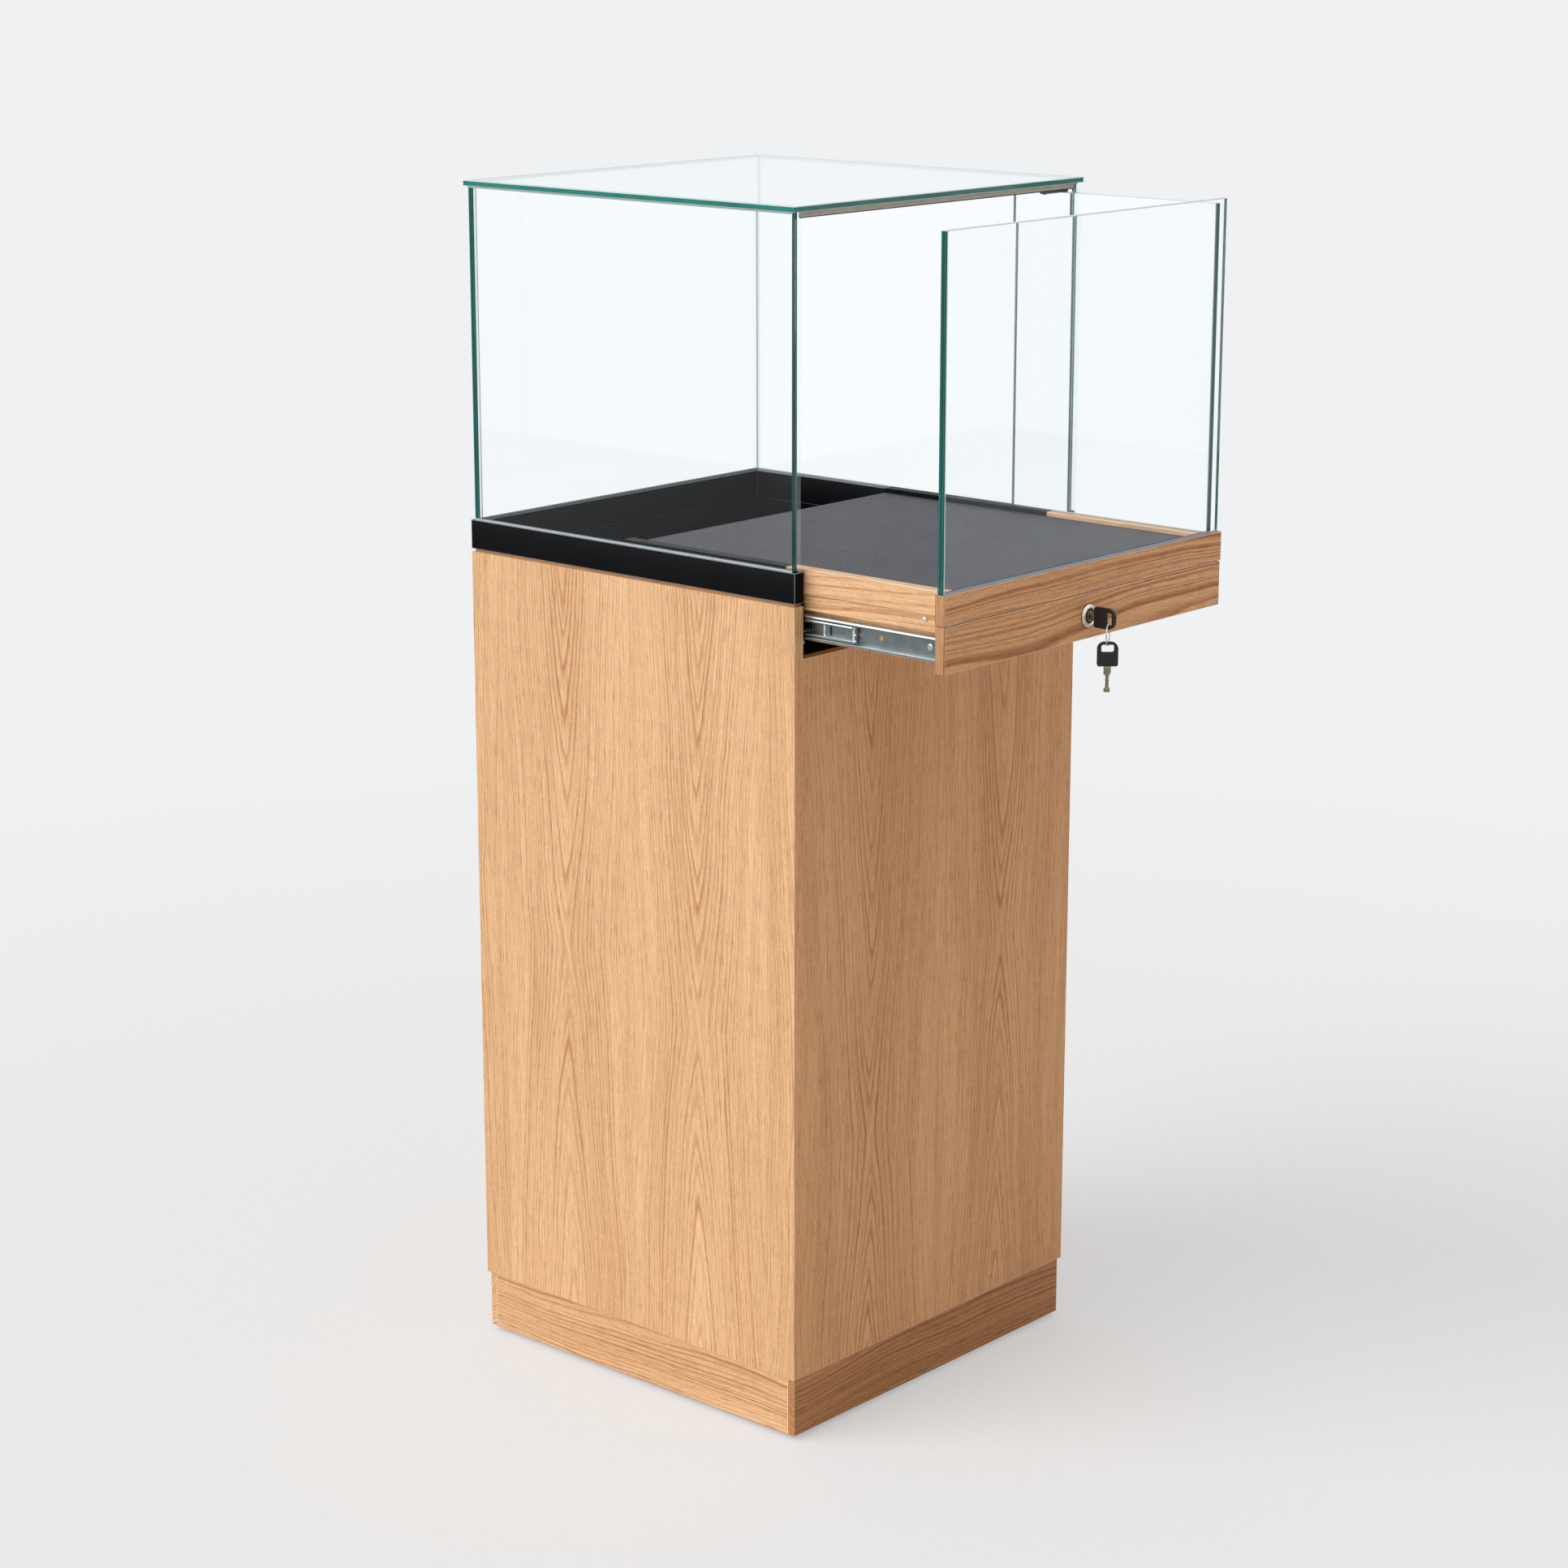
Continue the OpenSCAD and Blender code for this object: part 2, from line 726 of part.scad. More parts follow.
// Pan heads through the case's member and the lining into the side panels
module case_slide_screws() {
    head_t = 1.8;
    bite = liner_t + panel_t / 2 - 1;
    color(ZINC) mirrored_pair() slide_screw_places(y_slide, -in_x) {
        translate([0, 0, -bite]) cylinder(d = screw_d - screw_play, h = bite + steel_t);
        translate([0, 0, steel_t]) cylinder(d1 = screw_head_d, d2 = screw_d, h = head_t);
    }
}

// Flush in the drawer's member and through it into the drawer sides
module drawer_slide_screws() {
    bite = side_t - 3;
    d = screw_d - screw_play;
    color(ZINC) mirrored_pair() slide_screw_places(y_slide - open_at_rest, -side_x - steel_t) {
        cylinder(d1 = screw_head_d - screw_play, d2 = d, h = steel_t);
        cylinder(d = d, h = steel_t + bite);
    }
}

// ---- Drawer ----

// Rebated below z_rebate to leave room for the slide
module drawer_side_left() {
    z0 = z_slide - slide_h / 2 - side_drop;
    x_out = rail_x - side_step;
    x_in = side_x - side_t;
    color(OAK) difference() {
        along_y(y_back, drawer_l) polygon([
            [-side_x, z0], [-x_in, z0], [-x_in, z_deck], [-x_out, z_deck],
            [-x_out, z_rebate], [-side_x, z_rebate]
        ]);
        slide_screw_places(y_slide - open_at_rest, -side_x - 1) cylinder(d = screw_d, h = side_t - 1);
        pan_screw_place() translate([0, 0, -1]) cylinder(d = screw_d, h = side_t);
    }
}

module drawer_side_right() {
    color(OAK) mirror([1, 0, 0]) drawer_side_left();
}

// Axis of the pan head screw through the upper part of the left drawer side
module pan_screw_place() {
    translate([-rail_x + side_step, y_back + pan_y, z_deck - pan_drop]) rotate([0, 90, 0])
        children();
}

module drawer_side_screws() {
    head_t = side_step - 0.5;
    color(ZINC) mirrored_pair() pan_screw_place() {
        translate([0, 0, -head_t]) cylinder(d1 = pan_d - 2, d2 = pan_d, h = head_t);
        cylinder(d = screw_d - screw_play, h = side_t - 2);
    }
}

module cross_board(y0) {
    x = side_x - side_t;
    z0 = z_slide - slide_h / 2 - side_drop;
    translate([-x, y0, z0]) cube([2 * x, cross_t, z_deck - z0]);
}

module drawer_front_rail() {
    color(PINE) difference() {
        cross_board(y_back);
        facing_front(y_back + cross_t + 1, z_lock) cylinder(d = lock_d + 0.4, h = cross_t + 2);
    }
}

module drawer_back_rail() {
    color(OAK) cross_board(y_end - cross_t);
}

module deck_board() {
    x = rail_x - rail_w;
    color(PINE) translate([-x, y_back, z_deck]) cube([2 * x, drawer_l, deck_t]);
}

// The covered panel on which the exhibit stands
module deck_panel() {
    x = rail_x - rail_w;
    color(CHARCOAL) bevel_box([-x, y_back, z_deck + deck_t], [2 * x, drawer_l, insert_t], 0.8);
}

module deck_rail_left() {
    color(OAK) bevel_box([-rail_x, y_back, z_deck], [rail_w, drawer_l, z_rail_top - z_deck], 0.5);
}

module deck_rail_right() {
    color(OAK) mirror([1, 0, 0]) deck_rail_left();
}

// The groove for the front pane is open at the left end and stops short of the right one
module fascia_upper() {
    groove_w = glass_t + 2 * foot_gasket_t;
    color(OAK) difference() {
        bevel_box([-half_w, y_face, z_seam + fascia_joint / 2],
            [case_w, fascia_t, fascia_upper_h - fascia_joint / 2], 0.5);
        translate([-half_w - 1, front_pane_y - foot_gasket_t, z_rail_top - foot_groove])
            cube([case_w - front_pane_short + foot_gasket_t + 1, groove_w, foot_groove + 1]);
    }
}

module fascia_lower() {
    x = half_w - fascia_step;
    color(OAK) difference() {
        bevel_box([-x, y_face, z_fascia], [2 * x, fascia_t, z_seam - fascia_joint / 2 - z_fascia], 0.5);
        facing_front(y_back + 1, z_lock) cylinder(d = lock_d + 0.4, h = fascia_t + 2);
    }
}

module front_pane() {
    z0 = z_rail_top - foot_groove + foot_gasket_t;
    color(GLASS) bevel_box([-half_w, front_pane_y, z0],
        [case_w - front_pane_short, glass_t, z_pane_top - z0], arris);
}

module front_pane_gasket() {
    z0 = z_rail_top - foot_groove;
    color(RUBBER) difference() {
        translate([-half_w, front_pane_y - foot_gasket_t, z0])
            cube([case_w - front_pane_short + foot_gasket_t, glass_t + 2 * foot_gasket_t, foot_groove]);
        translate([-half_w - 1, front_pane_y, z0 + foot_gasket_t])
            cube([case_w - front_pane_short + 1, glass_t, foot_groove]);
    }
}

// Bonded to the back of the front pane, standing on the right-hand rail
module return_pane() {
    x1 = glass_x - glass_t - return_gap;
    color(GLASS) bevel_box([x1 - glass_t, front_pane_y + glass_t, z_rail_top],
        [glass_t, return_l, z_pane_top - return_drop - z_rail_top], arris);
}

// ---- Lock ----

// The front ring is turned with a raised rim and a dished face
module lock_barrel() {
    r0 = plug_d / 2;
    r1 = lock_front_d / 2;
    t = lock_front_t;
    len = y_barrel_end - y_face;
    color(NICKEL) facing_front(y_face, z_lock) rotate_extrude() polygon([
        [r0, -len], [lock_d / 2, -len], [lock_d / 2, 0], [r1, 0], [r1, 0.35 * t], [r1 - 0.8, 0.6 * t],
        [r1 - 2.2, 0.9 * t], [r1 - 3.2, t], [r1 - 4, 0.9 * t], [r1 - 4.6, 0.62 * t], [r0, 0.62 * t]
    ]);
}

module lock_nut() {
    color(ZINC) facing_front(y_back + cross_t + nut_t, z_lock) difference() {
        cylinder(d = lock_d + 8, h = nut_t, $fn = 6);
        translate([0, 0, -1]) cylinder(d = lock_d + 0.3, h = nut_t + 2);
    }
}

// The key's way through the plug: an upright slot with a round bore down its middle
module keyway(len) {
    play = 0.6;
    w = blade_t + play;
    h = blade_w + play;
    translate([-w / 2, -h / 2, 0]) cube([w, h, len]);
    cylinder(d = shank_d + play, h = len);
}

module lock_plug() {
    front = lock_front_t - plug_recess;
    len = cam_y - y_face - 0.1;
    color(NICKEL) facing_front(y_face, z_lock) difference() {
        union() {
            translate([0, 0, -len]) cylinder(r = plug_r, h = len + front);
            translate([-tail_w / 2, -tail_w / 2, -len - cam_t]) cube([tail_w, tail_w, cam_t + 1]);
        }
        translate([0, 0, front + eps - blade_l + key_collar - 1]) keyway(blade_l);
        translate([0, 0, -len - cam_t - 1]) cylinder(d = 3.2, h = cam_t + 3);
    }
}

// Turns from pointing left, unlocked, to pointing down behind the front panel
module lock_cam() {
    color(ZINC) facing_front(cam_y + cam_t, z_lock) {
        difference() {
            linear_extrude(height = cam_t) union() {
                circle(d = cam_w + 4);
                translate([-cam_len + cam_w / 2, 0]) circle(d = cam_w);
                translate([-cam_len + cam_w / 2, -cam_w / 2]) square([cam_len - cam_w / 2, cam_w]);
            }
            translate([-tail_w / 2 - 0.1, -tail_w / 2 - 0.1, -1])
                cube([tail_w + 0.2, tail_w + 0.2, cam_t + 2]);
        }
        translate([0, 0, -2.2]) cylinder(d = 10, h = 2);
        translate([0, 0, -0.5]) cylinder(d = 3, h = cam_t + 1);
    }
}

// ---- Keys ----

// A key's bow, hanging in X and Z from its far edge at the origin
module bow() {
    rotate([90, 0, 0]) translate([0, 0, -bow_t / 2]) linear_extrude(height = bow_t) difference() {
        translate([-bow_w / 2, -bow_l]) round_rect(bow_w, bow_l, 2.5, 8);
        translate([-hole_w / 2, -hole_edge - hole_l]) round_rect(hole_w, hole_l, 2, 2);
    }
}

// A key's blade below that bow: flat collar, round shank and flat bit
module blade() {
    collar_l = key_collar + 3.5;
    bit_l = 5;
    translate([0, 0, -bow_l]) {
        for (part = [[-collar_l, collar_l], [-blade_l, bit_l]])
            translate([-blade_w / 2, -blade_t / 2, part[0]]) cube([blade_w, blade_t, part[1]]);
        translate([0, 0, bit_l / 2 - blade_l])
            cylinder(d = shank_d, h = blade_l - (bit_l + collar_l) / 2);
    }
}

// Lays a hanging key down, with its blade in the lock and its bow upright
module in_the_lock() {
    translate([0, y_bow - bow_l, z_lock]) rotate([0, 90, 0]) rotate([90, 0, 0]) children();
}

module on_the_ring() {
    translate([0, ring_y, z_spare]) rotate([0, 0, spare_yaw]) children();
}

module key_bow() {
    color(BLACK) in_the_lock() bow();
}

module key_blade() {
    color(NICKEL) in_the_lock() blade();
}

module key_ring() {
    color(ZINC) translate([0, ring_y, z_ring_low + ring_r]) rotate([90, 0, ring_yaw])
        rotate_extrude() translate([ring_r, 0]) circle(d = ring_wire);
}

module spare_key_bow() {
    color(BLACK) on_the_ring() bow();
}

module spare_key_blade() {
    color(NICKEL) on_the_ring() blade();
}

base_board();
plinth_front();
plinth_back();
plinth_left();
plinth_right();
glue_blocks();
bottom_panel();
side_panel_left();
side_panel_right();
front_panel();
back_panel();
well_floor();
well_liner();
neck_strips();
frame_left();
frame_right();
frame_back();
frame_end_caps();
glazing_gasket();
glass_left();
glass_right();
glass_back();
glass_top();
edge_fins();
brush_seal();
pane_guide();
slide_outer_left();
slide_outer_right();
slide_mid_left();
slide_mid_right();
slide_inner_left();
slide_inner_right();
outer_ball_cages();
inner_ball_cages();
case_slide_screws();
drawer_slide_screws();
drawer_side_screws();
drawer_side_left();
drawer_side_right();
drawer_front_rail();
drawer_back_rail();
deck_board();
deck_panel();
deck_rail_left();
deck_rail_right();
fascia_upper();
fascia_lower();
front_pane();
front_pane_gasket();
return_pane();
lock_barrel();
lock_nut();
lock_plug();
lock_cam();
key_bow();
key_blade();
key_ring();
spare_key_bow();
spare_key_blade();
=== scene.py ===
"""Looks for the pedestal display case: materials, small pieces, light, floor and camera.

Everything is in metres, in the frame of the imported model: X is the width, the drawer opens
towards -Y, and Z is up from the floor.
"""

import math

import bmesh
import bpy
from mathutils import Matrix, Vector


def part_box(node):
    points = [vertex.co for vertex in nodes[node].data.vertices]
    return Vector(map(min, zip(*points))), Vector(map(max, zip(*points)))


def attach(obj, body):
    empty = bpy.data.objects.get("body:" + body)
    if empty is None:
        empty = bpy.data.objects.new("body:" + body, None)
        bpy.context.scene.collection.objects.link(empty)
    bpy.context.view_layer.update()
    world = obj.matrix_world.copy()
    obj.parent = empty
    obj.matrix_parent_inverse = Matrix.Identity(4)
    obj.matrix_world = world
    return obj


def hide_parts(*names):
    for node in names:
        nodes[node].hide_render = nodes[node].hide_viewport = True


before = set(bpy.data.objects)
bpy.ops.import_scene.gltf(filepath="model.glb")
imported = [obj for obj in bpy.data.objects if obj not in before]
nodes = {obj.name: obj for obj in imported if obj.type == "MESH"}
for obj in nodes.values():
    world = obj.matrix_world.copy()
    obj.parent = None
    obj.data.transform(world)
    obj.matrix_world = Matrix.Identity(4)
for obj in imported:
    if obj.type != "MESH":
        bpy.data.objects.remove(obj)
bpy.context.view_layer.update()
X, Y, Z = 0, 1, 2
LOW, HIGH = 0, 1                        # the two corners of a box
MM = 0.001


def middle_of(name):
    """The middle of a node's box."""
    low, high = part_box(name)
    return (low + high) / 2


# ---- Node graphs ------------------------------


class Graph:
    """Short calls for building a material's nodes. A value is a number, a tuple or a socket."""

    def __init__(self, name):
        self.material = bpy.data.materials.new(name)
        self.material.use_nodes = True
        self.tree = self.material.node_tree
        self.tree.nodes.clear()
        self.output = self.add("ShaderNodeOutputMaterial")

    def add(self, kind, **settings):
        node = self.tree.nodes.new(kind)
        for key, value in settings.items():
            setattr(node, key, value)
        return node

    def put(self, socket, value):
        if isinstance(value, bpy.types.NodeSocket):
            self.tree.links.new(value, socket)
        elif isinstance(value, tuple) and len(value) == 3 and socket.type == "RGBA":
            socket.default_value = (*value, 1.0)
        else:
            socket.default_value = value

    def math(self, operation, a, b=0.0, c=0.0):
        node = self.add("ShaderNodeMath", operation=operation)
        for socket, value in zip(node.inputs, (a, b, c)):
            self.put(socket, value)
        return node.outputs[0]

    def times(self, a, b):
        return self.math("MULTIPLY", a, b)

    def vector(self, x, y, z):
        node = self.add("ShaderNodeCombineXYZ")
        for socket, value in zip(node.inputs, (x, y, z)):
            self.put(socket, value)
        return node.outputs[0]

    def coordinates(self, output="Object"):
        return self.add("ShaderNodeTexCoord").outputs[output]

    def split(self, output="Object"):
        """The three coordinates, in metres, or the three parts of the normal."""
        node = self.add("ShaderNodeSeparateXYZ")
        self.put(node.inputs[0], self.coordinates(output))
        return node.outputs

    def facing(self, axis):
        """How squarely the surface faces along an axis of the object, from 0 to 1."""
        return self.math("ABSOLUTE", self.split("Normal")[axis])

    def scaled(self, place, *scales):
        """The coordinates, each multiplied by its own scale."""
        return self.vector(*(self.math("MULTIPLY", p, s) for p, s in zip(place, scales)))

    def noise(self, vector, scale=1.0, detail=2.0, roughness=0.5):
        node = self.add("ShaderNodeTexNoise")
        self.put(node.inputs["Vector"], vector)
        node.inputs["Scale"].default_value = scale
        node.inputs["Detail"].default_value = detail
        node.inputs["Roughness"].default_value = roughness
        return node.outputs["Fac"]

    def cells(self, vector, scale):
        node = self.add("ShaderNodeTexVoronoi")
        self.put(node.inputs["Vector"], vector)
        node.inputs["Scale"].default_value = scale
        return node.outputs["Distance"]

    def span(self, value, low, high, to_low=0.0, to_high=1.0):
        """Maps low..high to to_low..to_high, clamped."""
        node = self.add("ShaderNodeMapRange")
        for key, number in zip(
            ("Value", "From Min", "From Max", "To Min", "To Max"),
            (value, low, high, to_low, to_high),
        ):
            self.put(node.inputs[key], number)
        return node.outputs[0]

    def ramp(self, value, *stops):
        """A grey ramp through (place, level) stops."""
        node = self.add("ShaderNodeValToRGB")
        self.put(node.inputs[0], value)
        elements = node.color_ramp.elements
        while len(elements) < len(stops):
            elements.new(0.5)
        for element, (position, level) in zip(elements, stops):
            element.position = position
            element.color = (level, level, level, 1.0)
        return node.outputs[0]

    def blend(self, factor, a, b):
        node = self.add("ShaderNodeMix", data_type="RGBA")
        colours = [socket for socket in node.inputs if socket.type == "RGBA"]
        self.put(node.inputs[0], factor)
        self.put(colours[0], a)
        self.put(colours[1], b)
        return next(socket for socket in node.outputs if socket.type == "RGBA")

    def bump(self, height, distance, strength):
        node = self.add("ShaderNodeBump")
        node.inputs["Distance"].default_value = distance
        node.inputs["Strength"].default_value = strength
        self.put(node.inputs["Height"], height)
        return node.outputs[0]

    def principled(self, **values):
        node = self.add("ShaderNodeBsdfPrincipled")
        for key, value in values.items():
            self.put(node.inputs[key.replace("_", " ")], value)
        return node.outputs[0]

    def clear(self, tint):
        """Light passes straight through, and takes on the tint."""
        node = self.add("ShaderNodeBsdfTransparent")
        self.put(node.inputs[0], tint)
        return node.outputs[0]

    def mix_shaders(self, factor, a, b):
        node = self.add("ShaderNodeMixShader")
        for socket, value in zip(node.inputs, (factor, a, b)):
            self.put(socket, value)
        return node.outputs[0]

    def ray(self, *kinds):
        """1 for any of these kinds of ray."""
        path = self.add("ShaderNodeLightPath")
        found = path.outputs[f"Is {kinds[0]} Ray"]
        for kind in kinds[1:]:
            found = self.math("MAXIMUM", found, path.outputs[f"Is {kind} Ray"])
        return found

    def finish(self, shader):
        self.put(self.output.inputs["Surface"], shader)
        return self.material


# ---- Wood -------------------------------------

# Pale ground, mid ground, ring line and pore of each wood, and of its copies with painted light
OAK = ((0.860, 0.545, 0.300), (0.590, 0.330, 0.152), (0.430, 0.165, 0.048), (0.290, 0.105, 0.032))
# Redder copy of the oak for the boards that face the front: painted warm bounce light
OAK_WARM_BOUNCE = ((0.920, 0.505, 0.240), (0.625, 0.300, 0.122), (0.430, 0.145, 0.042), (0.270, 0.088, 0.026))
# Darker copy for the plinth's front: painted shade under the overhanging front panel
OAK_PLINTH_SHADE = ((0.640, 0.305, 0.112), (0.440, 0.185, 0.058), (0.270, 0.085, 0.022), (0.170, 0.052, 0.014))
# Darker colours of end grain; on the neck strips they are painted shade under the frame
OAK_END_GRAIN_AND_SHADE = ((0.560, 0.300, 0.140), (0.400, 0.195, 0.082), (0.270, 0.115, 0.045), (0.180, 0.075, 0.030))
# Paler colours for the boards' rounded arrises: a painted highlight along the edges
OAK_ARRIS_HIGHLIGHT = ((0.96, 0.74, 0.54), (0.88, 0.62, 0.42), (0.62, 0.38, 0.22), (0.50, 0.28, 0.14))
BIRCH = ((0.80, 0.66, 0.46), (0.70, 0.54, 0.35), (0.55, 0.39, 0.23), (0.42, 0.28, 0.16))

# How dark one year's ring is across its width
RING_STOPS = ((0.0, 0.70), (0.08, 1.0), (0.24, 0.72), (0.50, 0.18), (0.90, 0.0), (1.0, 0.70))
SWAY, RIPPLE = 26.0 * MM, 3.2 * MM      # widths of the rings' slow and quick bends
TURN = 12.0 * MM                        # how gently an arch turns round
DRIFT = 2.6                             # how far the spacing of the rings wanders, in rings
SHEET_SEED = 7.0                        # step of the seed from one sheet of veneer to the next


def wood(name, across, along, depth, face, leaf=0.0, centre=0.0, middle=0.0, drop=0.0,
         pith=0.060, slope=0.088, power=1.4, spacing=0.0042, seed=0.0, colours=OAK, line=0.80,
         rough=0.42):
    """Lacquered wood cut from a log whose rings run round a line behind the face.

    across, along and depth are the axes of the board, and face is the place of its face on
    the depth axis. leaf is the width of a sheet of veneer (0 for one sheet), centre the
    middle of a sheet, and middle the height where its arches turn round, which changes by
    drop from one sheet to the next. pith is the distance there from the face to the rings'
    centre, which falls by slope on the way up and down. A power under 2 makes the arches
    narrower than round rings would. line is the strength of the rings' dark lines.
    """
    g = Graph(name)
    place = g.split()
    u = g.math("SUBTRACT", place[across], centre)
    v = g.math("SUBTRACT", place[along], middle)
    w = g.math("ABSOLUTE", g.math("SUBTRACT", place[depth], face))
    own_seed = seed
    if leaf:
        sheet = g.math("ROUND", g.math("DIVIDE", u, leaf))
        u = g.math("SUBTRACT", u, g.times(sheet, leaf))
        v = g.math("SUBTRACT", v, g.times(sheet, drop))
        own_seed = g.math("ADD", g.times(sheet, SHEET_SEED), seed)

    def wander(wide, long, detail=2.0):
        """Noise over the board's face, another one on each sheet."""
        point = g.vector(g.times(u, wide), g.times(v, long), own_seed)
        return g.noise(point, detail=detail)

    sway = wander(5.0, 3.2, 1.0)
    ripple = wander(60.0, 14.0)
    u = g.math("ADD", u, g.math("MULTIPLY_ADD", sway, SWAY, -SWAY / 2))
    u = g.math("ADD", u, g.math("MULTIPLY_ADD", ripple, RIPPLE, -RIPPLE / 2))
    rise = g.math("SQRT", g.math("MULTIPLY_ADD", v, v, TURN * TURN))
    d = g.math("SUBTRACT", pith, g.times(g.math("SUBTRACT", rise, TURN), slope))
    d = g.math("ADD", g.math("MAXIMUM", d, 2.0 * MM), w)
    powers = g.math("ADD", g.math("POWER", g.math("ABSOLUTE", u), power), g.math("POWER", d, power))
    rings = g.math("DIVIDE", g.math("POWER", powers, 1.0 / power), spacing)
    drift = g.noise(g.vector(g.times(rings, 0.45), own_seed, 0.0), detail=1.0)
    rings = g.math("ADD", rings, g.times(drift, DRIFT))
    ring = g.ramp(g.math("FRACT", rings), *RING_STOPS)
    year = g.times(g.math("FLOOR", rings), 1.7)
    strength = g.noise(g.vector(year, own_seed, g.times(v, 2.0)), detail=1.0)
    ring = g.times(ring, g.span(strength, 0.34, 0.62, 0.15, 1.0))
    if leaf:
        ring = g.times(ring, g.span(g.math("ABSOLUTE", u), 0.03, 0.10, 1.0, 0.55))

    fibres = g.noise(g.scaled((u, v, w), 420.0, 6.0, 420.0), detail=3.0, roughness=0.65)
    speckle = g.noise(g.scaled((u, v, w), 800.0, 170.0, 800.0), detail=1.0)
    pores = g.noise(g.scaled((u, v, w), 900.0, 40.0, 900.0), detail=1.0)
    pores = g.times(g.span(pores, 0.53, 0.64), g.math("MULTIPLY_ADD", ring, 0.60, 0.40))
    patches = wander(16.0, 1.3)

    pale, mid, dark, pore = colours
    shade = g.math("ADD", g.span(fibres, 0.36, 0.64, 0.0, 0.50), g.span(patches, 0.35, 0.65, 0.0, 0.34))
    shade = g.math("ADD", shade, g.span(speckle, 0.38, 0.62, -0.12, 0.20))
    colour = g.blend(shade, pale, mid)
    colour = g.blend(g.times(ring, line), colour, dark)
    colour = g.blend(g.times(pores, 0.62), colour, pore)
    roughness = g.math("MULTIPLY_ADD", pores, 0.22, rough)
    roughness = g.math("ADD", roughness, g.math("MULTIPLY_ADD", patches, 0.10, -0.05))
    height = g.math("ADD", g.times(pores, -1.0), g.times(fibres, 0.35))
    return g.finish(
        g.principled(
            Base_Color=colour,
            Roughness=roughness,
            Specular_IOR_Level=0.40,
            Normal=g.bump(height, 0.12 * MM, 0.7),
        )
    )


def level_cut(along, centre, middle):
    """A cut for a board that lies level along X or Y. centre is the height of the log's middle."""
    depth, slope = (Y, 0.020) if along == X else (X, 0.024)
    return dict(across=Z, along=along, depth=depth, centre=centre, middle=middle, slope=slope,
                pith=0.05, power=2.0, spacing=0.0036, line=1.0)


case_side = dict(across=Y, along=Z, depth=X, leaf=0.208, centre=-0.105, middle=0.468, drop=0.055)
case_front = dict(across=X, along=Z, depth=Y, leaf=0.236, centre=-0.118, middle=0.338, drop=0.189)

# Node, material, side of its box that shows, seed, colours and cut
BOARDS = (
    ("side_panel_left", "oak_left", LOW, 1.0, OAK, case_side),
    ("side_panel_right", "oak_right", HIGH, 11.0, OAK, case_side),
    # The front panel and the fascia boards take the redder copy: painted warm bounce light
    ("front_panel", "oak_front", LOW, 21.0, OAK_WARM_BOUNCE, case_front),
    ("back_panel", "oak_back", HIGH, 31.0, OAK, case_front),
    # The plinth's front takes the darker copy: painted shade
    ("plinth_front", "oak_plinth_x", LOW, 41.0, OAK_PLINTH_SHADE, level_cut(X, 0.09, 0.1)),
    ("plinth_back", "oak_plinth_back", HIGH, 42.0, OAK, level_cut(X, 0.09, 0.1)),
    ("plinth_left", "oak_plinth_y", LOW, 43.0, OAK, level_cut(Y, 0.09, -0.1)),
    ("fascia_upper", "oak_fascia_x", LOW, 47.0, OAK_WARM_BOUNCE, level_cut(X, 1.035, 0.05)),
    ("fascia_lower", "oak_fascia_low", LOW, 53.0, OAK_WARM_BOUNCE, level_cut(X, 0.925, -0.1)),
    ("deck_rail_left", "oak_rail_y", LOW, 59.0, OAK, level_cut(Y, 1.03, -0.5)),
    ("drawer_side_left", "oak_side_y", LOW, 61.0, OAK, level_cut(Y, 0.93, -0.1)),
)
OAK_BOARDS = {
    node: wood(name, face=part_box(node)[side][cut["depth"]], seed=seed, colours=colours, **cut)
    for node, name, side, seed, colours, cut in BOARDS
}
OAK_TWINS = {                           # boards cut like another one
    "plinth_right": "plinth_left",
    "drawer_side_right": "drawer_side_left",
    "drawer_back_rail": "back_panel",
    "deck_rail_right": "deck_rail_left",
}
# Pale oak with faint rings for the bevels: a painted highlight
oak_edge_highlight = wood("oak_edge_highlight", X, Y, Z, 1.2, pith=0.3, slope=0.02, spacing=0.006, seed=67.0,
                colours=OAK_ARRIS_HIGHLIGHT, line=0.3)
oak_end = wood("oak_end", Y, Z, X, -0.25, pith=0.3, slope=0.01, spacing=0.0022, seed=73.0,
               colours=OAK_END_GRAIN_AND_SHADE, line=0.7, rough=0.55)
# The neck strips take the end grain's darker colours: painted shade under the frame
oak_neck = wood("oak_neck", Z, Y, X, -0.249, centre=0.974, pith=0.05, slope=0.02, power=2.0, seed=79.0,
                colours=OAK_END_GRAIN_AND_SHADE, line=0.5)
birch = wood("birch", X, Y, Z, 1.0, pith=0.3, slope=0.02, spacing=0.012, seed=71.0,
             colours=BIRCH, line=0.35, rough=0.6)


# ---- Paint and metal --------------------------


def lacquer(name, colour, rough, grain=900.0, relief=0.03 * MM, wear=(0.10, 0.10, 0.105), shine=0.5):
    """Smooth paint or powder coat: fine orange peel, faint dust and cloudy gloss."""
    g = Graph(name)
    place = g.coordinates()
    peel = g.noise(place, grain, 2.0)
    cloud = g.noise(place, 14.0, 4.0, 0.6)
    specks = g.span(g.noise(place, 420.0, 3.0, 0.7), 0.66, 0.74)
    base = g.blend(g.span(cloud, 0.35, 0.7, 0.0, 0.16), colour, wear)
    base = g.blend(g.times(specks, 0.22), base, wear)
    return g.finish(
        g.principled(
            Base_Color=base,
            Roughness=g.span(cloud, 0.3, 0.7, rough - 0.05, rough + 0.07),
            Specular_IOR_Level=shine,
            Normal=g.bump(peel, relief, 0.6),
        )
    )


